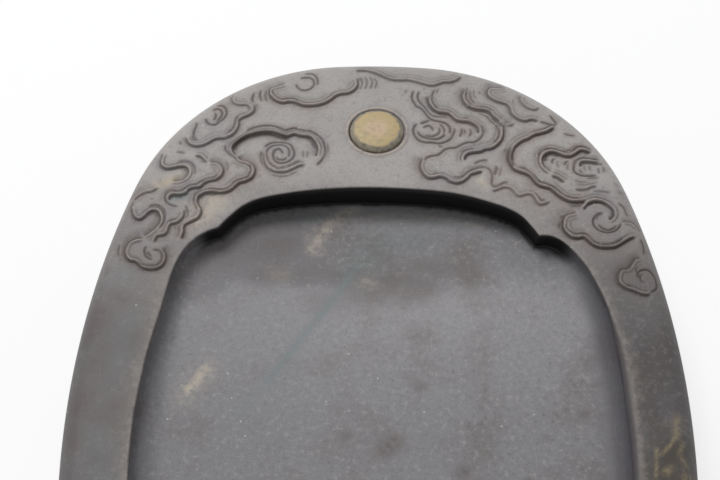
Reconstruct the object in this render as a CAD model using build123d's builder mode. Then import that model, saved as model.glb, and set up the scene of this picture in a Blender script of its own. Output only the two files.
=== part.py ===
from build123d import *
import os
from math import atan2, cos, pi, sin, sqrt

# Oval ink stone: one block with a cusped ink well sunk in its face, and a round stone eye in its forehead.
# The origin is the middle of the base, +Y points to the carved forehead and +Z up. Sizes are in millimetres.

# Block
stone_length = 201.2
stone_width = 143.2
stone_thickness = 28.0
rim_round = 5.0
base_round = 2.0

# Well, hand cut a little to the right of the middle, and widest a little below it
rim_width = 15.7
forehead = 43.7
well_offset = 0.7
well_setback = 7.0
lip_round = 1.2
lip_steps = 4
wall_draft = 0.5

# Hall floor, which curves up to the walls
hall_depth = 6.4
wall_depth = 3.6
foot_blend = 6.0
foot_steps = 6
floor_head = 72.0

# Pool, the deepest part, dished out under the forehead
pool_depth = 9.4
pool_setback = 1.8
pool_dish_radius = 268.0
pool_undercut = 1.1

# Stone eye
eye_setback = 25.8
eye_offset = -1.1
eye_radius = 7.2
eye_top_radius = 6.1
eye_proud = 1.4
eye_crown = 0.5
eye_socket = 3.0
eye_fit = 0.05
ring_width = 0.7
ring_depth = 0.9

half_length = stone_length / 2
half_width = stone_width / 2
well_half_width = half_width - rim_width
well_reach = half_length - forehead
well_tail = half_length - rim_width - well_setback
well_middle = (well_offset, -well_setback)
eye_place = (eye_offset, half_length - eye_setback)
pool_place = (well_offset, well_reach - pool_setback)

# Radii of an oval's side, corner and end arcs: shares of its half length, its half width and its half width
block_shares = (2.187, 0.810, 2.346)
well_tail_shares = (2.439, 0.751, 2.683)
floor_head_shares = (2.639, 0.716, 1.073)

# Places along the well's edge: shares of its half width, and of its reach above the middle of the stone
left_side_shares = [(-0.983, 0.12), (-0.951, 0.33), (-0.921, 0.53), (-0.886, 0.635), (-0.843, 0.70), (-0.790, 0.744)]
left_cusp_share = (-0.744, 0.766)
arch_shares = [
    (-0.703, 0.823), (-0.634, 0.893), (-0.526, 0.942), (-0.296, 0.985), (-0.026, 1.0),
    (0.297, 0.979), (0.513, 0.919), (0.622, 0.861), (0.677, 0.791),
]
right_cusp_share = (0.700, 0.749)
right_side_shares = [(0.750, 0.748), (0.803, 0.717), (0.858, 0.6485), (0.913, 0.55), (0.970, 0.369), (0.995, 0.123)]


def quarter_oval(middle, across, along, shares, inset=0):
    """Side, corner and end arcs of a quarter oval, each tangent to the next, drawn in by inset.

    A negative across or along puts the quarter on that side of its middle.
    """
    side = shares[0] * abs(along)
    corner = shares[1] * abs(across)
    end = shares[2] * abs(across)
    side_centre = Vector(abs(across) - side, 0)
    end_centre = Vector(0, abs(along) - end)
    apart = end_centre - side_centre
    foot = ((side - corner) ** 2 - (end - corner) ** 2 + apart.length**2) / (2 * apart.length)
    rise = sqrt((side - corner) ** 2 - foot**2)
    line = apart.normalized()
    corner_centre = side_centre + line * foot + Vector(-line.Y, line.X) * rise
    to_corner = corner_centre - side_centre
    from_corner = corner_centre - end_centre
    first_turn = atan2(to_corner.Y, to_corner.X)
    last_turn = atan2(from_corner.Y, from_corner.X)
    arcs = [
        (side_centre, side, 0, first_turn),
        (corner_centre, corner, first_turn, last_turn),
        (end_centre, end, last_turn, pi / 2),
    ]
    for centre, radius, start, stop in arcs:
        points = []
        for turn in (start, (start + stop) / 2, stop):
            x = centre.X + (radius - inset) * cos(turn)
            y = centre.Y + (radius - inset) * sin(turn)
            points.append((middle[0] + x * across / abs(across), middle[1] + y * along / abs(along)))
        ThreePointArc(*points)


def well_edge(inset, reach):
    """Edge of the well, drawn in by inset at its sides and tail, with the arch at reach."""
    across = well_half_width - inset

    def place(share):
        return well_offset + share[0] * across, share[1] * reach

    quarter_oval(well_middle, well_half_width, -well_tail, well_tail_shares, inset)
    quarter_oval(well_middle, -well_half_width, -well_tail, well_tail_shares, inset)
    left_foot = (well_offset - across, -well_setback)
    right_foot = (well_offset + across, -well_setback)
    left_cusp = place(left_cusp_share)
    right_cusp = place(right_cusp_share)
    Spline(left_foot, *[place(share) for share in left_side_shares], left_cusp)
    Spline(left_cusp, *[place(share) for share in arch_shares], right_cusp)
    Spline(right_cusp, *[place(share) for share in right_side_shares], right_foot)


def floor_edge(inset):
    """Outline of the floor, drawn in by inset all round, that runs on past the arch."""
    for width in (well_half_width, -well_half_width):
        quarter_oval(well_middle, width, -well_tail, well_tail_shares, inset)
        quarter_oval(well_middle, width, floor_head, floor_head_shares, inset)


# The well's shaft: a rounded lip over walls that lean in a little at the sides and out under the forehead
with BuildPart() as well_space:
    for step in range(lip_steps):
        level = lip_round * step / (lip_steps - 1)
        spread = lip_round - sqrt(lip_round**2 - (lip_round - level) ** 2)
        with BuildSketch(Plane.XY.offset(stone_thickness - level)):
            with BuildLine():
                well_edge(-spread, well_reach + spread)
            make_face()
    loft(ruled=True)
    with BuildSketch(Plane.XY.offset(stone_thickness - lip_round)) as wall_top:
        with BuildLine():
            well_edge(0, well_reach)
        make_face()
    with BuildSketch(Plane.XY.offset(stone_thickness - pool_depth - lip_round)) as wall_foot:
        with BuildLine():
            well_edge(wall_draft, well_reach + pool_undercut)
        make_face()
    loft([wall_top.sketch.face(), wall_foot.sketch.face()], ruled=True)

# The room over the floor: a flat hall that curves up all round, and the pool's dish
foot_rise = hall_depth - wall_depth
with BuildPart() as floor_space:
    for step in range(foot_steps):
        inset = foot_blend * (2 * step / (foot_steps - 1) - 1)
        level = hall_depth - foot_rise * (1 - inset / foot_blend) ** 2
        with BuildSketch(Plane.XY.offset(stone_thickness - level)):
            with BuildLine():
                floor_edge(inset)
            make_face()
    loft()
    with Locations((*pool_place, stone_thickness - pool_depth + pool_dish_radius)):
        Sphere(pool_dish_radius)
    add(well_space.part, mode=Mode.INTERSECT)

with BuildPart() as stone_block:
    with BuildSketch():
        with BuildLine():
            for width in (half_width, -half_width):
                for length in (half_length, -half_length):
                    quarter_oval((0, 0), width, length, block_shares)
        make_face()
    extrude(amount=stone_thickness)
    fillet(stone_block.faces().sort_by(Axis.Z)[-1].edges(), rim_round)
    fillet(stone_block.faces().sort_by(Axis.Z)[0].edges(), base_round)
    add(floor_space.part, mode=Mode.SUBTRACT)
    with BuildSketch(Plane.XY.offset(stone_thickness)):
        with Locations(eye_place):
            Circle(eye_radius + eye_fit + ring_width)
    extrude(amount=-ring_depth, mode=Mode.SUBTRACT)
    with BuildSketch(Plane.XY.offset(stone_thickness)):
        with Locations(eye_place):
            Circle(eye_radius + eye_fit)
    extrude(amount=-eye_socket, mode=Mode.SUBTRACT)
stone_block.part.label = "stone_block"

with BuildPart() as stone_eye:
    with BuildSketch(Plane(origin=(*eye_place, stone_thickness), x_dir=(1, 0, 0), z_dir=(0, -1, 0))):
        with BuildLine():
            crown = (0, eye_proud)
            shoulder = (eye_top_radius, eye_proud - eye_crown)
            Polyline(crown, (0, -eye_socket), (eye_radius, -eye_socket), (eye_radius, 0), shoulder)
            TangentArc(crown, shoulder, tangent=(1, 0))
        make_face()
    revolve(axis=Axis((*eye_place, 0), (0, 0, 1)))
stone_eye.part.label = "stone_eye"

os.makedirs("parts", exist_ok=True)
export_step(stone_block.part, "parts/stone_block.step")
export_step(stone_eye.part, "parts/stone_eye.step")
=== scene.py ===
import math

import bmesh
import bpy
import numpy as np
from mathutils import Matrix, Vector
from mathutils.geometry import delaunay_2d_cdt


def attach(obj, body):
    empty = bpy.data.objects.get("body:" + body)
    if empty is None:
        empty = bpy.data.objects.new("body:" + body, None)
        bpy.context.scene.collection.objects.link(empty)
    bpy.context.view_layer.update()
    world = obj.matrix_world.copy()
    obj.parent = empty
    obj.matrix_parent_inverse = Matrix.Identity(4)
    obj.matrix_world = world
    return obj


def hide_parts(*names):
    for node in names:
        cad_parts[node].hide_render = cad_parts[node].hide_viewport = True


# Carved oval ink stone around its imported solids. Sizes are in millimetres, shares have no unit.
# +Y points to the forehead with the clouds, the base rests on z = 0.
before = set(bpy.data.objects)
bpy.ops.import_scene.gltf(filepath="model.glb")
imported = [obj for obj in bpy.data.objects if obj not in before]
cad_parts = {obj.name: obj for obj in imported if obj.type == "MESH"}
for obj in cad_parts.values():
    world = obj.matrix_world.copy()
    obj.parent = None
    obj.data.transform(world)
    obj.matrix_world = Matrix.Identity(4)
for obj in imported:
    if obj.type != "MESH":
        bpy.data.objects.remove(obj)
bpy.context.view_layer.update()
mm = 0.001
sweepWeld, sheetWeld = 2e-6, 6e-6  # in metres, how near points are joined

block = {
    "halfLength": 100.57,
    "halfWidth": 71.6,
    "thickness": 28.0,
    "roundness": (2.187, 0.810, 2.346),  # side radius to the half length, corner and end radii to the half width
    "rimRound": 5.0,
    "baseRound": 2.0,
    "faceTurn": 60.0,  # degrees of the rounded rim that belong to the face, the rest is swept with the side
    "faceTurns": (0, 8, 16, 24, 33, 42, 51),  # rows of points before that
    "sideLevels": (20.5, 18, 15, 12, 9, 6, 3.5),
    "rimStep": 0.8,
    "reliefInset": (0.7, 1.6),  # how far inside the outline the relief starts, and over what width
    "waviness": 0.05,  # what the hand left uneven
    "waves": [(0.7, 13.0, 3), (0.3, 5.0, 4)],  # share, size and seed of each
}

well = {
    "halfWidth": 55.9,
    "reach": 56.9,
    "tail": 77.9,
    "offset": 0.7,
    "setback": 7.0,
    "tailRoundness": (2.439, 0.751, 2.683),
    "lipRound": 0.45,  # crisp where the photo shows it
    "softLip": 2.1,  # worn round on the right
    "softRight": (20, 20),  # start and width of the change to it, across and along the stone
    "softNear": (24, -16),
    "nearLip": 1.2,
    "nearFrom": (-25, -20),
    "lipShift": (0.17, 0.38),  # how far inside the outline the lip starts, and how much more at the arch
    "lipTurns": (0, 13, 26, 39, 52, 65, 78, 90),
    "wallShares": (0.25, 0.5, 0.75),  # rows between the lip and the foot
    "footTurns": (0, 20, 40, 60, 75, 90),
    "wallDraft": 0.5,
    "undercut": 1.1,
    "edgeStep": 0.5,
    "cuspRounds": 10,  # rounds of softening, at the cusps so that the lip doesn't fold there
    "topRounds": 12,  # and where the lip runs through the clouds
    "archFrom": 36,  # the edge further up belongs to the arch, over these widths for the lip and the foot
    "archWidths": (12, 9),
    # shares of the half width and of the reach, the two cusps among them
    "leftSide": [(-0.983, 0.12), (-0.951, 0.33), (-0.921, 0.53), (-0.886, 0.635), (-0.843, 0.70), (-0.790, 0.744)],
    "leftCusp": (-0.744, 0.766),
    "arch": [(-0.703, 0.823), (-0.634, 0.893), (-0.526, 0.942), (-0.296, 0.985), (-0.026, 1.0),
             (0.297, 0.979), (0.513, 0.919), (0.622, 0.861), (0.677, 0.791)],
    "rightCusp": (0.700, 0.749),
    "rightSide": [(0.750, 0.748), (0.803, 0.717), (0.858, 0.6485), (0.913, 0.55), (0.970, 0.369), (0.995, 0.123)],
}

hall = {
    "depth": 6.4,
    "wallDepth": 3.6,
    "footBlend": 6.0,
    "head": 72.0,
    "headRoundness": (2.639, 0.716, 1.073),
    "poolDepth": 9.4,
    "poolSetback": 1.8,
    "poolBlend": 1.2,
    "dishRadius": 268.0,
    "footRound": 1.3,
    "archFootRound": 0.2,
    "waviness": 0.05,
    "waves": [(0.6, 17.0, 11), (0.4, 7.0, 12)],
}

eye = {
    "place": (-1.1, 74.8),
    "radius": 7.2,
    "sides": 120,
    # height of the stone round the eye at these radii: the groove, then a thin raised ring
    "surround": [(7.22, -3.0), (7.24, -0.2), (7.36, -0.2), (7.5, -0.1), (7.65, 0.03), (7.85, 0.11), (8.05, 0.12),
                 (8.3, 0.05), (8.6, -0.04), (9.3, 0.0)],
    "groove": 7.4,
    "ring": 8.05,
    # the plug's radius and its height over the face, with a bevelled, slightly domed head
    "section": [(0, -2.98), (3.5, -2.98), (6.8, -2.98), (7.1, -2.85), (7.19, -2.4), (7.19, -1.2), (7.19, -0.35),
                (7.15, -0.1), (7.0, 0.14), (6.7, 0.45), (6.42, 0.72), (6.2, 0.9), (5.9, 1.02), (5.4, 1.12),
                (4.6, 1.22), (3.6, 1.3), (2.4, 1.35), (1.2, 1.37), (0, 1.375)],
    "waviness": 0.05,  # of the plug's head, above this height over the face
    "wavyFrom": -0.3,
}

# Points of the flat sheets: their step, how near they come to others, and two corners of their area
grids = {
    "strokes": (0.7, 0.45, (-66, 20), (66, 100)),
    "veins": (0.6, 0.45, (56, -27), (71, -4)),  # for the thin veins in the right rim
    "face": (1.8, 1.1, (-72, -101), (72, 101)),
    "floor": (0.95, 0.5, (-60, -90), (60, 62)),
    "base": (5.0, 2.5, (-72, -101), (72, 101)),
}
rowGap = 0.18  # between the points of rows along strokes
ringStep = 0.33  # round the eye
strokeCell = 3  # side of the cells that count as near a stroke


# Outlines, all run anticlockwise
def ovalArcs(across, along, roundness):
    side, corner, end = roundness[0] * along, roundness[1] * across, roundness[2] * across
    sideCentre, endCentre = np.array([across - side, 0.0]), np.array([0.0, along - end])
    apart = endCentre - sideCentre
    gap = math.hypot(*apart)
    foot = ((side - corner) ** 2 - (end - corner) ** 2 + gap**2) / (2 * gap)
    rise = math.sqrt((side - corner) ** 2 - foot**2)
    line = apart / gap
    cornerCentre = sideCentre + line * foot + np.array([-line[1], line[0]]) * rise
    first = math.atan2(*(cornerCentre - sideCentre)[::-1])
    last = math.atan2(*(cornerCentre - endCentre)[::-1])
    return [(sideCentre, side, 0.0, first), (cornerCentre, corner, first, last), (endCentre, end, last, math.pi / 2)]


def ovalQuarter(across, along, roundness, step):
    points, normals = [], []
    for centre, radius, start, stop in ovalArcs(across, along, roundness):
        count = max(2, math.ceil(radius * (stop - start) / step))
        turns = start + (stop - start) * np.arange(count) / count
        outward = np.stack([np.cos(turns), np.sin(turns)], 1)
        points.append(centre + radius * outward)
        normals.append(outward)
    points.append(np.array([[0.0, along]]))
    normals.append(np.array([[0.0, 1.0]]))
    return np.concatenate(points), np.concatenate(normals)


def ovalLoop(across, along, roundness, step):
    loop = []
    for part in ovalQuarter(across, along, roundness, step):
        left = part[::-1] * (-1, 1)
        loop.append(np.concatenate([part[:-1], left[:-1], (part * (-1, -1))[:-1], (part[::-1] * (1, -1))[:-1]]))
    return loop


# How far a point lies inside an oval, from whichever of its arcs the point faces
def ovalInset(x, y, arcs):
    u, v = np.abs(x), np.abs(y)
    depths = [radius - np.hypot(u - centre[0], v - centre[1]) for centre, radius, _, _ in arcs]
    fromSide = np.arctan2(v - arcs[0][0][1], u - arcs[0][0][0])
    fromEnd = np.arctan2(v - arcs[2][0][1], u - arcs[2][0][0])
    return np.where(fromSide <= arcs[0][3], depths[0], np.where(fromEnd >= arcs[2][2], depths[2], depths[1]))


# A smooth line through given points, with even steps
def smoothLine(places, step, parts=24):
    places = np.array(places, float)
    if len(places) == 2:
        places = np.array([places[0], places.mean(0), places[1]])
    before, after = 2 * places[0] - places[1], 2 * places[-1] - places[-2]
    knots = np.concatenate([[before], places, [after]])
    fine = []
    for a, b, c, d in zip(knots, knots[1:], knots[2:], knots[3:]):
        t = np.linspace(0, 1, parts, endpoint=False)[:, None]
        fine.append(0.5 * (2 * b + (c - a) * t + (2 * a - 5 * b + 4 * c - d) * t**2 + (3 * b - a - 3 * c + d) * t**3))
    fine = np.concatenate([*fine, places[-1:]])
    run = np.concatenate([[0], np.cumsum(np.hypot(*np.diff(fine, axis=0).T))])
    even = np.linspace(0, run[-1], max(3, round(run[-1] / step) + 1))
    return np.stack([np.interp(even, run, fine[:, 0]), np.interp(even, run, fine[:, 1])], 1)


def leftOf(points, closed=False):
    ahead = np.roll(points, -1, 0) - np.roll(points, 1, 0)
    if not closed:
        ahead[0], ahead[-1] = points[1] - points[0], points[-1] - points[-2]
    ahead /= np.hypot(*ahead.T)[:, None]
    return np.stack([-ahead[:, 1], ahead[:, 0]], 1)


# Each value on a closed loop drawn towards the two beside it
def softened(values):
    return (np.roll(values, 1, 0) + 2 * values + np.roll(values, -1, 0)) / 4


def wellLoop():
    across, reach, step = well["halfWidth"], well["reach"], well["edgeStep"]

    def placed(shares):
        return [(well["offset"] + x * across, y * reach) for x, y in shares]

    rightFoot = (well["offset"] + across, -well["setback"])
    leftFoot = (well["offset"] - across, -well["setback"])
    leftCusp, rightCusp = placed([well["leftCusp"], well["rightCusp"]])
    right = smoothLine([rightFoot, *placed(well["rightSide"][::-1]), rightCusp], step)
    arch = smoothLine([rightCusp, *placed(well["arch"][::-1]), leftCusp], step)
    left = smoothLine([leftCusp, *placed(well["leftSide"][::-1]), leftFoot], step)
    tail = ovalQuarter(across, well["tail"], well["tailRoundness"], step)[0]
    middle = (well["offset"], -well["setback"])
    tail = np.concatenate([(tail * (-1, -1) + middle)[:-1], (tail[::-1] * (1, -1) + middle)[:-1]])
    loop = np.concatenate([right[:-1], arch[:-1], left[:-1], tail])
    intoStone = -leftOf(loop, closed=True)
    for turn in range(well["cuspRounds"]):
        intoStone = softened(intoStone)
        intoStone /= np.hypot(*intoStone.T)[:, None]
    return loop, intoStone


# Smooth unevenness, the same on every run
def softNoise(x, y, size, seed, cells=97):
    values = np.random.default_rng(seed).uniform(-1, 1, (cells, cells))
    u, v = x / size + 1000, y / size + 1000  # so that no cell has a number below 0
    i, j = np.floor(u).astype(int), np.floor(v).astype(int)
    s, t = (w * w * w * (w * (6 * w - 15) + 10) for w in (u - i, v - j))
    i, j, k, l = i % cells, j % cells, (i + 1) % cells, (j + 1) % cells
    return (values[i, j] * (1 - s) + values[k, j] * s) * (1 - t) + (values[i, l] * (1 - s) + values[k, l] * s) * t


def waves(x, y, parts):
    return sum(share * softNoise(x, y, size, seed) for share, size, seed in parts)


def ease(value):
    value = np.clip(value, 0, 1)
    return value * value * (3 - 2 * value)


# From 0 at the start to 1 a width further on, or further back if the width is below 0
def ramp(value, start, width):
    return ease((value - start) / width)


# 1 in the middle of a band, 0 outside it
def band(value, middle, width):
    return ease(1 - np.abs(value - middle) / width)


# 1 at a place, fading to both sides of it
def hump(distance, place, width):
    return np.exp(-(((distance - place) / width) ** 2))


# The clouds, read from the photograph in its own frame: each point is x, y on the face.
# A step is the edge of a cloud: the side that lies lower, its share of the full depth, how far the
# lower side takes to rise again, and the points along it. A line is a fine groove: share and points.
carving = {
    "turn": 1.0136,  # degrees from the drawing's frame to the stone's
    "middle": (-0.239, 5.005),
    "spacing": 0.3,  # of the points along a stroke
    "taper": (1.2, 2.5),  # length at each end, or the stroke's length divided by this if that is less
    "stepDepth": 0.8,
    "stepWidth": 0.36,
    "stepReach": 2.5,  # how far above a step its marks go
    "rise": (0.22, 1.7),  # where the lower side starts to rise again, and how much it bends
    "crest": 0.10,  # how far the edge of a cloud stands up, as a narrow bead
    "bead": 0.16,  # the groove behind that bead
    "echo": 0.75,  # share of a fainter groove that follows it here and there
    "crestWave": [(0.6, 3.5, 5)],  # share, size and seed of what wears the crest unevenly
    "crestLimits": (0.4, 1.4),
    "echoWave": [(1.6, 6.0, 8)],
    "echoLevel": 0.7,
    "lineDepth": 0.42,
    "lineReach": 1.2,
    # places across a stroke and widths there, below 0 is the upper side of a step
    "crestAt": (-0.45, 0.26),
    "beadAt": (-0.98, 0.22),
    "echoAt": (-1.95, 0.24),
    "footAt": 0.12,
    "footWidths": (0.36, 0.2),  # of the dirt and painted shade at the foot of a step, away from it and towards it
    "stepPatina": (0, 1.9),
    "lineAt": (0, 0.22),
    "lineDirtAndShade": (0, 0.28),
    "linePatina": (0, 1.2),
    "lineCrest": (0.55, 0.22),
    # shares of the dirt and painted shade in the bead's groove and in the lines, and of the lines' bare edges with
    # their painted highlight
    "beadDirtAndShadeShare": 0.65,
    "lineDirtAndShadeShare": 0.85,
    "lineCrestShare": 0.45,
    # rows of points that follow a stroke, the ones that matter most first
    "stepRows": (-0.2, 0.22, 0.0, -0.45, -0.98, -0.72, -1.25, 0.45, -1.95, -1.7, -2.2, 0.8, 1.3, 2.0, 3.0),
    "lineRows": (0.0, -0.22, 0.22, -0.5, 0.5, -0.8, 0.8),
}

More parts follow.
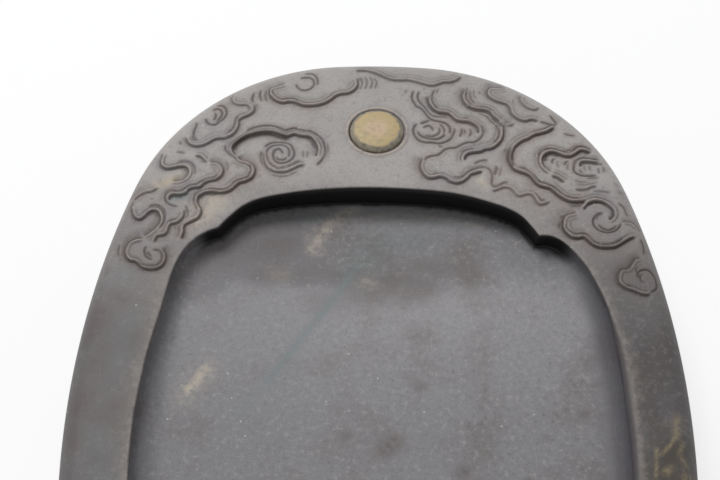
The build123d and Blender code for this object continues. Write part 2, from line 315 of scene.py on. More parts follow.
cloudSteps = [
    # left cloud
    ("right", 1, 4.5, [
        (-36.7, 71.5), (-37.7, 72.7), (-38.1, 74.2), (-37.5, 75.7), (-36, 77.2), (-34.2, 78.5), (-33, 79),
        (-31, 79.6), (-29, 79.75), (-27.2, 79.5), (-26, 79), (-25, 78.5), (-23.8, 78.2), (-23, 78.6),
        (-21.8, 79), (-20.5, 78.5), (-19, 78.3), (-17.7, 78), (-16.8, 77), (-16, 75.5), (-15.6, 74),
        (-15.7, 72.8), (-16, 71),
    ]),
    ("right", 0.7, 3, [
        (-29.5, 72.8), (-29.6, 71), (-29.2, 69.2), (-28.5, 67.8), (-27.2, 66.9), (-26, 66.4), (-24.2, 66.4),
        (-23, 66.8), (-22, 67.4), (-21, 68), (-20, 68.5), (-18.5, 68.5),
    ]),
    # band under it
    ("left", 1, 3.5, [
        (-36.7, 71.5), (-35.7, 70.4), (-34.2, 69.9), (-33, 69.2), (-32, 68), (-31.8, 66.5), (-32.4, 64.7),
        (-34, 63.5), (-35.5, 63), (-36.5, 62), (-37.7, 60.7), (-39.2, 60), (-41, 59.9), (-43, 60.1),
        (-44.5, 59.7), (-45.6, 58.7), (-46, 57.5), (-45.6, 56), (-44.8, 54.5), (-44.8, 53.3), (-45.4, 52),
        (-46.7, 51.1), (-48.2, 50.2), (-48.7, 49.2), (-48.6, 47.7), (-49.2, 45.2),
    ]),
    # lobe A
    ("right", 0.7, 2, [(-48, 71.5), (-46.7, 71.6), (-45.7, 71), (-45, 70), (-44, 69.5)]),
    ("left", 0.9, 2.5, [
        (-44, 69.5), (-42.5, 69.5), (-41.2, 69), (-40.2, 67.7), (-40, 66.5), (-40.5, 65), (-41.7, 64),
        (-43.5, 63.5), (-44.7, 62.7), (-45.7, 61.6), (-47.2, 61.4), (-48.5, 60.7), (-49, 59.7),
        (-50.5, 59.1), (-52, 59.2), (-53, 58.7), (-53.2, 57.7), (-52.5, 57),
    ]),
    # hook C
    ("right", 0.9, 2.5, [
        (-55.9, 72.7), (-56.4, 71.2), (-56.5, 69.5), (-56, 68.2), (-54.7, 67.5), (-53.2, 67.7),
        (-51.7, 68.1), (-50.2, 68.2), (-49.2, 67.5), (-48.9, 66.2), (-49.2, 65), (-50, 64), (-51.5, 63.4),
        (-53, 63.4),
    ]),
    # upper left
    ("right", 0.8, 2.5, [
        (-50.5, 78), (-50.1, 76.5), (-49.2, 75.4), (-47.7, 74.9), (-46, 75.2), (-44.5, 76.1), (-43.2, 77.1),
        (-42, 77.5), (-40.5, 77.6), (-39.5, 78), (-38.2, 79), (-37.2, 80.7), (-36.9, 82.5), (-37, 83.7),
        (-36, 84.7), (-34.5, 85.5), (-33.2, 86.7), (-33, 88), (-33.5, 89.2),
    ]),
    ("right", 0.6, 1.5, [
        (-38.7, 93), (-39.2, 91.7), (-39.1, 90.5), (-38.4, 89.5), (-37, 89), (-35.7, 89.1), (-34.7, 88.7),
        (-34.2, 87.7), (-34.5, 86.7),
    ]),
    # top cloud
    ("right", 0.9, 3, [
        (-24.7, 96.7), (-26.2, 96), (-27.5, 95.4), (-28.8, 95), (-29.1, 94.2), (-29.1, 93), (-28.5, 91.8),
        (-27.5, 90.8), (-26.2, 90.1), (-25, 89.9), (-24, 90.2), (-22.5, 90.1), (-21.2, 89.5), (-20, 89),
        (-18.8, 88.8), (-17, 88.9), (-15.5, 89.2), (-13.7, 90), (-12.2, 91.2), (-11, 92.4), (-9.7, 93),
        (-8.2, 93.2), (-7, 93.7), (-5.9, 94.7), (-5.2, 96), (-5.2, 97.2), (-5.6, 98.6),
    ]),
    # top middle
    ("right", 0.7, 2.5, [
        (-6, 101.5), (-3, 101.5), (-1.5, 101.1), (0, 100.4), (1.5, 99.5), (3, 98.7), (4.5, 98.1),
        (6.5, 97.9), (8.7, 97.9), (10.7, 97.4), (12.5, 96.7), (14, 96.2), (15.5, 96), (17, 96.5),
        (18.5, 97.1), (20.2, 97.2), (22, 97.9), (23, 98.9), (23.5, 99.5),
    ]),
    # three bands
    ("right", 0.9, 2, [
        (13.9, 92.2), (14, 90.5), (14.4, 89), (15.2, 87.5), (16.7, 86.5), (18.5, 86.2), (19.7, 85.6),
        (20.7, 84.4), (21.5, 83.7), (23, 83.3), (24.5, 83.1), (25.7, 82.5), (26.7, 81.5), (27.1, 80.2),
        (27, 78.7),
    ]),
    # big S band
    ("right", 0.9, 2, [
        (24.5, 94.7), (23.5, 93), (23.4, 91), (24.2, 89.2), (25.7, 88), (27.5, 87.4), (29.2, 87.2),
        (30.5, 86.5), (31.2, 85.2), (32.2, 84), (33.2, 83),
    ]),
    ("left", 1, 2.5, [
        (33.2, 83), (33.7, 81.5), (33.6, 79.5), (33.3, 78), (32.7, 76.7), (31.5, 75.2), (30, 74.2),
        (28.5, 73.9), (27.2, 73.2), (25.5, 72.9), (24, 72.5), (23.1, 71.7), (22.7, 70.7), (23, 69.7),
    ]),
    # upper right
    ("right", 0.8, 2, [
        (35.7, 95.7), (34.5, 95.4), (32.7, 95.1), (31, 95), (30.2, 93.5), (30.6, 92), (32, 90.7),
        (33.7, 89.9), (35.2, 89.2), (36, 87.7), (36.2, 86.2), (37, 85), (38.2, 84), (39.7, 83.5), (41.5, 84),
        (43, 83.5), (43.5, 83),
    ]),
    ("right", 0.6, 1.5, [(33.2, 83), (34.5, 82), (35.7, 82), (37, 82.7)]),
    ("right", 0.6, 1.5, [
        (40, 92.5), (39.1, 91.5), (39.2, 90), (40.2, 88.5), (41.7, 87.5), (43.2, 87.5), (43.7, 88.5),
    ]),
    # right cloud
    ("left", 1, 4, [
        (47.5, 81.5), (45.7, 80.2), (44.7, 79.7), (43.2, 79.2), (41.5, 78.6), (40, 77.5), (38.7, 76.9),
        (37.5, 76), (36.5, 75), (36, 74.2), (35.4, 72.5), (35.2, 70.7), (35.6, 69.5),
    ]),
    ("right", 1, 3.5, [
        (34.7, 74.2), (34.4, 72), (34.4, 70), (34.9, 68.5), (35.7, 67.2), (37, 66.5), (38.5, 65.9),
        (39.7, 64.9), (40.5, 63.5), (41.5, 62.2), (43, 61.6), (44.2, 61.2), (45.2, 60.2), (46.2, 59),
        (47.5, 57.9), (49, 57.1), (50.5, 57), (52, 57.1), (53.2, 57.6),
    ]),
    ("right", 1, 2.5, [
        (45.2, 66.2), (44, 67.2), (43.2, 68.5), (43, 70), (43.4, 71.5), (44.5, 72.6), (46, 73), (47.5, 72.5),
        (49, 71.7), (50.5, 71.6), (51.7, 72.2), (53.5, 73.5), (55, 73.2), (56.5, 72.5),
    ]),
    ("right", 0.8, 1.5, [(44.7, 65.2), (46, 64.9), (47.2, 64), (48.5, 62.7)]),
    ("right", 0.8, 1.5, [(52.5, 67.5), (52.7, 69), (53.5, 69.7), (55, 69.7), (56.5, 69.5), (58.2, 69.2)]),
    ("right", 0.6, 1.5, [(50.3, 61), (52, 60.7), (53.7, 60.9), (55, 61.6), (56.7, 61.5)]),
    # lower right spiral cloud
    ("right", 0.9, 2, [
        (51.7, 54.4), (53.1, 56.2), (55.3, 57.2), (57.6, 56.5), (59.2, 55), (59.7, 53.6), (59.3, 52.2),
        (58.4, 51.3), (57.8, 51.5),
    ]),
    ("left", 0.6, 1.5, [(61, 50.1), (61.9, 50.6), (63.4, 50.5), (64.4, 50), (65.3, 48.8), (65.4, 47.8)]),
    ("right", 1, 3, [
        (50.5, 53.5), (49, 53.2), (47.8, 52.8), (47, 52), (46.5, 50.5), (46.4, 49), (47, 47.5), (48.2, 46.2),
        (49.7, 45.9), (51.2, 46.1), (52.2, 45.2), (53.2, 44), (54.7, 43.2), (56.5, 43), (58.5, 43.2), (60, 44),
        (61.5, 45), (63, 45.9), (64.5, 46.2),
    ]),
    # small cloud
    ("right", 0.8, 2, [
        (65, 39.7), (63.2, 39.5), (62.2, 38.2), (61, 36.7), (59.5, 36.5), (58.5, 35.2), (58.2, 33.5),
        (58.5, 32.3), (60, 31.1), (61.5, 30.5), (63, 29.7), (64.5, 29.4), (65.7, 29.7),
    ]),
    # lower lobe
    ("right", 0.9, 3, [
        (12.2, 71), (11.5, 69.7), (11.2, 68), (11.6, 66.5), (12.2, 65.4), (13.2, 64.5), (14.7, 64.5),
        (16.2, 64.9), (17.7, 64.4), (18.7, 63.4), (20.2, 62.9), (21.7, 63.2), (23.2, 64.4), (24.2, 65.6),
        (25.5, 66.1), (26.7, 66.5), (27.7, 66),
    ]),
    ("right", 0.7, 1, [(31.2, 68.7), (31.2, 67.2), (30.7, 65.7), (30.4, 64.7)]),
    ("right", 0.6, 1.5, [
        (29, 60.6), (30, 60.4), (31.2, 60.9), (32.7, 61.4), (34.2, 61), (35.2, 59.7), (35.7, 58.9),
        (36.5, 58.7), (38, 59.2), (39.2, 59.2), (40, 58.2), (40.6, 56.7), (41.5, 56), (43, 56.5), (44, 57),
    ]),
    # lower left
    ("right", 0.9, 2.5, [
        (-62.2, 55), (-62, 53.5), (-61.2, 52), (-60, 51.5), (-59, 52.2), (-58, 53.5), (-57, 54.2),
        (-55.7, 53.9), (-55, 52.7), (-54.7, 51.2), (-55, 50), (-56, 48.5), (-57.2, 47.2), (-58.5, 46),
    ]),
    ("left", 0.8, 2, [
        (-49.2, 54.5), (-49, 52.7), (-49.7, 51.2), (-50.7, 50.4), (-52, 50), (-52.5, 48.7), (-52.7, 47.5),
        (-53.7, 46.7), (-55, 46.4), (-55.5, 45.2), (-55.6, 44.1),
    ]),
    ("right", 0.6, 2.5, [(-62.5, 57.2), (-61.6, 58.5), (-59.8, 59.6), (-58, 60.1), (-57, 60.7), (-56.2, 61.6)]),
    ("right", 0.9, 2.5, [
        (-58.2, 45.7), (-60, 45.5), (-61.5, 44.7), (-62.2, 43.5), (-62.5, 41.7), (-62, 40.2), (-61, 39.2),
        (-59.7, 38.9), (-58.7, 38), (-57.5, 37.1), (-56, 36.7), (-54.5, 36.8), (-53.2, 37.5), (-52.5, 38.7),
        (-52.3, 40.2), (-52.7, 41.7), (-53.7, 42.7),
    ]),
]

cloudLines = [
    # left cloud
    (1, [
        (-35, 79.6), (-33, 80.9), (-31, 81.5), (-29, 81.7), (-27.3, 81.5), (-26, 80.9), (-25, 80.3),
        (-24.3, 80), (-23.5, 80.4), (-22, 80.8), (-20.5, 80.3), (-19, 79.9), (-17.5, 79.7), (-16.5, 79),
        (-15.3, 78), (-14.5, 76.9), (-14, 75.6), (-13.6, 73.5), (-13.8, 71.5), (-15, 69.3), (-16, 68.2),
    ]),
    (0.5, [(-13.2, 76), (-12.9, 74), (-13, 72)]),
    (0.7, [(-27.7, 65.9), (-26.7, 65.4), (-25.2, 65.1), (-23.5, 65.2), (-22, 65.9), (-20.7, 66.8)]),
    (0.9, [
        (-29.7, 74), (-28.5, 75.5), (-27.2, 76), (-25.2, 76.2), (-23.5, 75.8), (-22.5, 74.8), (-21.9, 73.2),
        (-21.7, 72), (-22.2, 70.5), (-23.5, 69.5), (-25, 69.1), (-26.2, 69.5), (-27, 70.5), (-27.2, 72),
        (-26.8, 73.3), (-25.8, 73.8), (-25, 73), (-24.6, 71.8),
    ]),
    (0.8, [
        (-19.5, 69.8), (-21, 69.5), (-22.5, 68.5), (-25.5, 67.5), (-27, 68.2), (-28, 69.3), (-28.8, 71),
        (-28.9, 73), (-28, 74.5), (-26.5, 75.1), (-25, 75.2), (-23.8, 74.5), (-23.1, 73.3), (-23, 72),
        (-23.3, 70.7),
    ]),
    (0.8, [(-26.5, 71.5), (-26, 70.5), (-25, 70.1), (-24, 70.5), (-23.6, 71.5)]),
    # band under it
    (0.8, [
        (-33.9, 69.1), (-33.1, 68.3), (-32.8, 67), (-32.9, 66.3), (-33.5, 64.7), (-35, 64), (-36.7, 63.2),
        (-37.5, 62), (-38.7, 60.9), (-40.5, 60.5), (-43, 60.9), (-45, 60.7), (-46.5, 59.7), (-46.7, 58),
        (-46.2, 56), (-45.6, 54),
    ]),
    (0.8, [(-39.7, 75.5), (-39.9, 74), (-39, 72.5), (-37.5, 71.2), (-36.2, 70)]),
    (0.4, [(-39.6, 70), (-39, 68.2), (-39.2, 66.5)]),
    (0.5, [(-30.2, 73.6), (-30.4, 71.6), (-30, 69.6), (-29.2, 68.1)]),
    (0.35, [(-18.6, 70.6), (-18.2, 72.2), (-18.4, 73.6)]),
    (0.35, [(-19.6, 70.6), (-19.3, 72.2), (-19.6, 73.6)]),
    # lobe A
    (0.8, [
        (-41.2, 66), (-42.2, 64.5), (-44, 64), (-45.5, 63.2), (-46.7, 62.2), (-48.2, 62), (-49.5, 61),
        (-51, 60.2), (-53, 60.4), (-54, 59.5), (-54.2, 58), (-53.5, 56.5), (-52, 55.6), (-50.5, 55.2),
    ]),
    # hook C
    (0.8, [(-52.5, 69.2), (-51, 69.7), (-49.2, 69.5), (-48, 68.5), (-47.4, 67), (-47.2, 65.2)]),
    # upper left
    (0.9, [(-49, 78.5), (-48.6, 77.2), (-47.5, 76.5)]),
    (0.8, [(-37, 85.5), (-37.7, 83.2), (-38.1, 81.5), (-39, 80), (-40.5, 79)]),
    (0.8, [(-48.5, 83.2), (-48.1, 82), (-48.5, 80), (-48.6, 78.5), (-48, 77), (-47, 76.5)]),
    (0.6, [(-52, 76.7), (-51.7, 75)]),
    (0.6, [(-53, 72.7), (-51.7, 72.7), (-50, 72.2)]),
    (0.9, [
        (-43.5, 88.4), (-42.2, 88.7), (-41, 88), (-40.4, 86.7), (-40.4, 85.5), (-41, 84.2), (-42, 83.2),
        (-43.2, 82), (-44.7, 82.2), (-45.6, 83.2), (-45.6, 84.5),
    ]),
    (0.9, [(-44.5, 86.7), (-43.2, 87.5), (-42, 87), (-41.5, 85.7), (-42, 84.2), (-43.2, 83)]),
    (0.8, [(-44, 86.2), (-43.2, 85.5), (-43.4, 84), (-44.2, 83.5)]),
    (0.9, [(-33.2, 93.5), (-33.7, 91.1), (-33.3, 89.3)]),
    (0.9, [(-31.4, 94.5), (-31.7, 92.2), (-31, 89.9)]),
    (0.7, [(-29.8, 94.7), (-30.2, 92.4), (-29.6, 90)]),
    # top cloud
    (0.8, [
        (-28.4, 94.8), (-28.2, 93.2), (-27.2, 91.9), (-26, 91), (-24.5, 91.2), (-22.5, 91.2), (-20.7, 90.2),
    ]),
    (0.9, [(-16.2, 95.5), (-16.1, 97.5), (-16.7, 99.2), (-18, 100.1), (-20, 99.9)]),
    (0.9, [
        (-22, 96.7), (-21.6, 95.2), (-20.5, 94.2), (-19.2, 94.1), (-18, 94.7), (-17.1, 96), (-17.2, 97.5),
        (-18.2, 98.5), (-20, 98.6), (-21.2, 98),
    ]),
    (0.6, [(-4.6, 99), (-4, 97.5), (-4.1, 96), (-4.8, 94.5)]),
    (0.6, [(-3.4, 99.3), (-2.6, 97.8), (-2.7, 96), (-3.4, 94.2)]),
    (0.6, [(-2.1, 99.4), (-1.2, 97.8), (-1.2, 96), (-2, 94.3)]),
    (0.6, [(-0.9, 99), (0, 97.5), (0, 96), (-0.6, 94.5)]),
    # top middle
    (0.6, [(2.5, 100), (4, 99.2), (6.2, 98.6)]),
    # three bands
    (1, [
        (10.4, 94.2), (9.7, 92.5), (9.7, 90.7), (10.2, 89.6), (10.7, 88.5), (12, 87.5), (13, 86.2),
        (13.6, 85), (14.7, 83.7), (16.5, 83.1), (18.2, 82.5), (19.2, 81.5), (19.5, 80), (19.1, 78.7),
    ]),
    (1, [
        (11.9, 94), (11.2, 92.2), (11.4, 90.6), (12.2, 89.1), (13.2, 87.9), (14, 86.4), (15.1, 85.1),
        (16.5, 84.8), (18.2, 84.8), (19.4, 84.4),
    ]),
    (0.8, [(14.7, 92.5), (14, 91), (14.2, 89.2), (15.2, 87.7)]),
    (0.8, [(16.3, 95), (15.6, 93.6), (15.2, 92.2), (15.2, 90), (16, 88.5), (17, 87.4)]),
    (0.5, [(17.2, 95.2), (16.6, 94), (16.4, 92.7)]),
    (0.4, [(8.4, 94.6), (8, 93.6), (7.7, 92.6)]),
    (0.4, [(12.6, 94.6), (13.4, 94.2)]),
    (0.7, [(16, 86.3), (17.5, 85.7), (19, 85.4)]),
    (0.7, [(23.2, 84.6), (25, 84.2)]),
    (0.9, [
        (28, 82), (28.4, 80), (28.1, 78.7), (27.2, 77.2), (25.7, 76.1), (23.7, 75.9), (22.2, 75.2),
        (20.7, 74.2), (19, 74), (17.7, 73.5), (16.7, 72.4), (15.7, 71.7), (14, 71.4), (12.7, 70.6),
        (12.1, 69.7),
    ]),
    (0.8, [(20.7, 81), (20.6, 79.5), (19.7, 77.5)]),
    (0.8, [(22.6, 81.2), (22.6, 79.5), (21.7, 77.5)]),
    (0.8, [(24.7, 81), (25, 79.2), (24.2, 77.7)]),
    # spiral by the eye
    (1, [
        (11.2, 82.2), (10.2, 81.7), (9.7, 80.2), (10, 78.2), (11, 76.7), (12.5, 76), (14.5, 75.9),
        (16.2, 75.6), (18, 76.1), (19.5, 77.2), (20.2, 78.7), (20.7, 80.2),
    ]),
    (1, [(11, 80), (11.2, 78.7), (12.5, 77.7), (14.5, 77.2), (16, 77.1), (17.5, 78), (18, 79.5)]),
    (0.9, [(12, 80.7), (13.7, 81.6), (14.7, 80.7), (14.9, 79.5)]),
    (0.9, [(11.2, 82.2), (12.5, 82.7), (13.9, 83.3), (14.7, 83.4)]),
    (0.8, [(12.3, 78.1), (13.6, 78.1), (14.7, 78), (15.6, 78.4), (16.5, 79.2), (16.7, 80.3), (16.5, 81.4)]),
    (0.8, [(17.8, 78.8), (17.9, 80.3), (17.3, 81.6), (16.5, 82.4)]),
    (0.7, [(23.2, 80.8), (23.4, 79.5), (23.2, 78.6)]),
    (0.5, [(13.9, 65.9), (16, 65.8)]),
    # big S band
    (0.8, [(24.9, 95.3), (24.4, 93.2), (24.4, 91.4), (25, 90), (26.2, 88.5)]),
    (0.35, [(26.6, 94.5), (26.5, 92.5), (27.1, 90.8)]),
    (0.35, [(28.2, 94), (28, 92.4)]),
    (0.5, [(27.3, 88.6), (29, 88.3), (30.4, 87.6), (31.4, 86.3)]),
    (0.3, [(37.2, 91.5), (37, 89.8), (37.4, 88.2)]),
    (0.7, [(25.6, 94), (25.5, 92), (26.2, 90), (27, 89.2)]),
    (0.9, [
        (27, 86.7), (28.5, 85.5), (29.7, 84.7), (30.5, 83.2), (31.7, 82), (32.4, 80.2), (32.4, 78.5),
        (31.7, 77), (30.5, 75.9),
    ]),
    (0.8, [(26, 74.1), (24, 73.7), (22.5, 73), (21.7, 72.2)]),
    # upper right
    (0.9, [(48.3, 81.9), (47.3, 83.7), (46.3, 85.6)]),
    (0.9, [(43.3, 83.2), (45, 82.5), (46.9, 81.9), (48.3, 82.1)]),
    (0.6, [(49.3, 79.3), (50.9, 78.4), (52.8, 78.3)]),
    # right cloud
    (0.8, [
        (36.5, 68), (38, 67.5), (39.2, 66.5), (40, 65.4), (40.6, 64.4), (41, 63.7), (42, 63), (43.2, 62.6),
        (45.7, 61), (47, 59.5), (48.2, 58.6), (50, 58), (52, 57.9),
    ]),
    (0.8, [
        (42.2, 70.7), (42.5, 72.5), (43.5, 73.6), (45.2, 74), (47, 73.7), (48.5, 73.1), (50, 73.1),
        (51.5, 73.7), (52.7, 74.6), (54, 74.7), (55.2, 74.2), (56.5, 73.5),
    ]),
    (0.8, [(47, 70.9), (45.7, 70), (45.6, 68.5)]),
    (0.9, [
        (57, 65), (54.5, 64.9), (52.7, 65.1), (51.2, 66), (50.9, 67), (51.1, 68), (51.4, 69.5), (52.2, 70.5),
        (53.7, 71), (55.7, 70.6), (58.2, 70),
    ]),
    (0.6, [(52.5, 67.5), (52.7, 66.4), (53.5, 65.6)]),
    (0.5, [(57.2, 67.8), (57.4, 66.5), (57.1, 65.4)]),
    (0.35, [(47.2, 70.2), (46.9, 68.8), (47.2, 67.2)]),
    (0.35, [(49.9, 69.2), (49.4, 67.8), (49.6, 66.4)]),
    (0.4, [(54.2, 68.8), (53.7, 67.6), (54.2, 66.4)]),
    (0.4, [(55.5, 68.6), (55.1, 67.4), (55.5, 66.2)]),
    (0.35, [(50.5, 63.6), (52.5, 63), (54.6, 62.9)]),
    (0.35, [(51, 62.3), (53.5, 62.1), (56, 62.5)]),
    (0.5, [(58.5, 68.3), (58.8, 67), (58.4, 65.8)]),
    (0.5, [(53.5, 64.2), (57.4, 64.2)]),
    (0.5, [(54.8, 60.1), (57, 60), (59.8, 59.5)]),
    (0.8, [(48.5, 68), (49.2, 69.5), (50.2, 70.2)]),
    # lower right spiral cloud
    (0.8, [(52, 53.9), (52.8, 55.5), (54.6, 56.5), (56.9, 56.8), (58.5, 55.6)]),
    (0.7, [(60.9, 56.6), (62.3, 55), (62.7, 53.2), (63.2, 51.9)]),
    (0.8, [(65.2, 45.9), (65.7, 44), (65.7, 42), (65.2, 40.7)]),
    (0.6, [(46, 51), (45.4, 49.5), (45.6, 48.2)]),
    (0.7, [(54.8, 50.9), (55.6, 52.5), (56.9, 52.9)]),
    (0.7, [(59.5, 53.8), (59.1, 52), (57.8, 51.2)]),
    (0.6, [(46.9, 52.9), (46.2, 51.8)]),
    (0.8, [
        (47.4, 50.5), (47.2, 49), (48, 47.7), (49.5, 47), (51.5, 47.1), (52.5, 46.2), (53.5, 44.7),
        (55.2, 43.9), (57.2, 43.9), (59.2, 44.5), (61, 45.7),
    ]),
    (1, [
        (57.2, 53.3), (55.7, 53), (54.6, 52), (54, 50.6), (54.3, 49.1), (55.3, 48), (57.1, 47.4),
        (59.1, 47.8), (60.5, 49.1), (61.1, 50.3),
    ]),
    (0.9, [(55.2, 50), (56, 48.7), (57.5, 48.1), (59, 48.6), (60, 49.7)]),
    # small cloud
    (0.7, [(59.5, 32), (61.5, 31.7)]),
    (0.8, [(63.6, 37.6), (62.8, 36.2), (63.2, 35.4), (63.6, 34), (63.6, 32.8)]),
    (0.9, [
        (63, 33.7), (63.1, 35.2), (63.9, 36.1), (65.6, 36.4), (66.8, 35.4), (67.4, 33.8), (67.3, 31.7),
        (66.4, 30.5), (65.2, 29.7),
    ]),
    (0.8, [(64.5, 35.4), (63.7, 34.4), (63.7, 33.2), (64.7, 32.7)]),
    # lower lobe
    (0.8, [
        (19, 64.7), (20.7, 64.5), (22.2, 65), (23.2, 66), (24.5, 67), (25.7, 67.6), (27.2, 67.9),
        (28.5, 67.5), (29.4, 66.5), (29.7, 64.7), (29.4, 62.7), (29.7, 61.7), (30.7, 61.6), (32, 62.5),
        (33, 62.9), (34, 62.6),
    ]),
    (0.8, [(25, 68.5), (26.2, 69.5), (27.7, 70), (29.2, 70)]),
    (0.7, [(40.2, 60), (41, 58.5), (41.7, 57.4), (43, 57.1)]),
    (0.6, [(16, 74.6), (17.5, 74.6)]),
    # lower left
    (0.8, [
        (-58.3, 54.9), (-57.2, 55.6), (-56, 55.7), (-55, 55.1), (-54, 54), (-53.7, 52.2), (-54, 50), (-55, 48.5),
    ]),
    (0.6, [(-49.1, 55.9), (-48.3, 54.6), (-48, 53.2), (-48.3, 51.8)]),
    (0.6, [(-49.3, 50.3), (-49.9, 49), (-49.6, 47.3)]),
    (0.4, [(-50.6, 49.5), (-50.8, 48.1)]),
    (0.6, [(-53, 50.5), (-51.6, 51.2), (-50.3, 51.8)]),
    (0.4, [(-57.7, 58.3), (-57.4, 57.2)]),
    (0.7, [(-62, 57.5), (-62.6, 55.5), (-62.2, 53.5)]),
    (0.8, [
        (-59.2, 38.7), (-58, 38), (-56.5, 37.6), (-54.5, 37.6), (-53.4, 38.5), (-53, 40), (-53.4, 41.5),
        (-54.5, 42.1), (-56, 42.2),
    ]),
    (0.9, [(-57.2, 43.5), (-57.7, 42), (-57.2, 40.5), (-56.2, 39.6), (-55.2, 39.7)]),
    (0.8, [(-57, 42), (-56.4, 40.7), (-55.5, 40.1)]),
    (0.6, [(-64.1, 44.2), (-64.2, 42), (-63.9, 40)]),
]


def drawn(points, step):
    turn = math.radians(carving["turn"])
    line = smoothLine(points, step) - carving["middle"]
    return line @ np.array([[math.cos(turn), math.sin(turn)], [-math.sin(turn), math.cos(turn)]])


class Stroke:
    def __init__(self, points, share, reach=0, lower="left"):
        self.line = drawn(points, carving["spacing"])
        self.toLower = leftOf(self.line) * (1 if lower == "left" else -1)
        self.reach = reach
        run = np.arange(len(self.line)) * carving["spacing"]
        most, parts = carving["taper"]
        self.share = share * ease(np.minimum(run, run[-1] - run) / min(most, run[-1] / parts))

    # For points near the stroke: their rows, distance to its lower side, and the stroke's share there
    def near(self, points, margin):
        low, high = self.line.min(0) - margin, self.line.max(0) + margin
        rows = np.flatnonzero(((points > low) & (points < high)).all(1))
        if len(rows) == 0:
            return rows, None, None
        away = points[rows][:, None, :] - self.line[None]
        closest = (away**2).sum(2).argmin(1)
        away = points[rows] - self.line[closest]
        across = (away * self.toLower[closest]).sum(1)
        distance = np.hypot(*away.T) * np.where(across < 0, -1, 1)
        return rows, distance, self.share[closest]


steps = [Stroke(points, share, reach, lower) for lower, share, reach, points in cloudSteps]
lines = [Stroke(points, share) for share, points in cloudLines]


def lift(values, rows, least):
    values[rows] = np.maximum(values[rows], least)


# Height of the carving at points of the face, and where its dirt and painted shade, its bare edges with a painted
# highlight, and its patina are
def carve(points):
    fall, groove, bead, crest, dirt, patina = np.zeros((6, len(points)))
    riseFrom, bend = carving["rise"]
    for stroke in steps:
        rows, distance, share = stroke.near(points, stroke.reach + carving["stepReach"])
        if len(rows) == 0:
            continue
        x, y = points[rows].T
        wall = ease((distance + carving["stepWidth"] / 2) / carving["stepWidth"])
        rise = np.clip(1 - np.clip(distance - riseFrom, 0, None) / stroke.reach, 0, 1) ** bend
        lift(fall, rows, carving["stepDepth"] * share * wall * rise)
        uneven = np.clip(1 + waves(x, y, carving["crestWave"]), *carving["crestLimits"])
        # the bead along a step's edge; its share also paints a highlight there
        lift(crest, rows, np.sqrt(share) * uneven * hump(distance, *carving["crestAt"]))
        echo = carving["echo"] * ease(waves(x, y, carving["echoWave"]) + carving["echoLevel"])
        behind = share * uneven * hump(distance, *carving["beadAt"])
        behind = np.maximum(behind, share * echo * hump(distance, *carving["echoAt"]))
        lift(bead, rows, behind)
        # dirt and painted shade at the foot of each step and in the groove behind its bead
        foot = hump(distance, carving["footAt"], np.where(distance > carving["footAt"], *carving["footWidths"]))
        lift(dirt, rows, np.maximum(share * foot, carving["beadDirtAndShadeShare"] * behind))
        lift(patina, rows, share * hump(distance, *carving["stepPatina"]))
    for stroke in lines:
        rows, distance, share = stroke.near(points, carving["lineReach"])
        if len(rows) == 0:
            continue
        lift(groove, rows, carving["lineDepth"] * share * hump(distance, *carving["lineAt"]))
        lift(dirt, rows, np.sqrt(share) * carving["lineDirtAndShadeShare"] * hump(distance, *carving["lineDirtAndShade"]))
        lift(patina, rows, np.sqrt(share) * hump(distance, *carving["linePatina"]))
        lift(crest, rows, carving["lineCrestShare"] * share * hump(np.abs(distance), *carving["lineCrest"]))
    return -fall - groove - carving["bead"] * bead + carving["crest"] * crest, dirt, crest, patina


blockArcs = ovalArcs(block["halfWidth"], block["halfLength"], block["roundness"])
tailArcs = ovalArcs(well["halfWidth"], well["tail"], well["tailRoundness"])
headArcs = ovalArcs(well["halfWidth"], hall["head"], hall["headRoundness"])


# Height of the face at points outside the well
def faceHeight(points, relief):
    x, y = points.T
    inset = ovalInset(x, y, blockArcs)
    drop = block["rimRound"] - np.clip(inset, 0, block["rimRound"])
    height = block["thickness"] - block["rimRound"] + np.sqrt(block["rimRound"] ** 2 - drop**2)
    wavy = waves(x, y, block["waves"])
    height += (relief + block["waviness"] * (wavy - 1)) * ramp(inset, *block["reliefInset"])
    radius = np.hypot(x - eye["place"][0], y - eye["place"][1])
    radii, levels = np.array(eye["surround"]).T
    return height + np.interp(radius, radii, levels)


# Depth of the floor below the face: a hall that curves up to its walls, and the pool's dish
def floorDepth(points):
    x, y = points.T
    u, v = x - well["offset"], y + well["setback"]
    inset = np.where(v >= 0, ovalInset(u, v, headArcs), ovalInset(u, v, tailArcs))
    rise = (hall["depth"] - hall["wallDepth"]) * np.clip(1 - inset / hall["footBlend"], 0, None) ** 2
    bowl = hall["depth"] - rise
    away = np.hypot(u, y - well["reach"] + hall["poolSetback"])
    dish = hall["poolDepth"] - away**2 / (2 * hall["dishRadius"])
    blend = hall["poolBlend"]
    mix = np.clip(0.5 + (dish - bowl) / (2 * blend), 0, 1)
    return bowl + (dish - bowl) * mix + blend * mix * (1 - mix) + hall["waviness"] * waves(x, y, hall["waves"])


# The points that stand at least gap from those kept and from one another
def thinned(points, gap, kept):
    cells, chosen = {}, []
    for x, y in kept:
        cells.setdefault((int(x // gap), int(y // gap)), []).append((x, y))
    for x, y in points:
        i, j = int(x // gap), int(y // gap)
        close = [p for k in (i - 1, i, i + 1) for l in (j - 1, j, j + 1) for p in cells.get((k, l), ())]
        if all((a - x) ** 2 + (b - y) ** 2 >= gap**2 for a, b in close):
            cells.setdefault((i, j), []).append((x, y))
            chosen.append((x, y))
    return np.array(chosen).reshape(-1, 2)


# New points of a grid whose rows are offset, so that its triangles come out even
def filled(grid, kept, chosen=None):
    step, gap, low, high = grids[grid]
    points = []
    for k, y in enumerate(np.arange(low[1], high[1], step * 0.866)):
        x = np.arange(low[0] + (k % 2) * step / 2, high[0], step)
        points += [point for point in np.stack([x, np.full(len(x), y)], 1) if chosen is None or chosen(point)]
    return thinned(points, gap, kept)


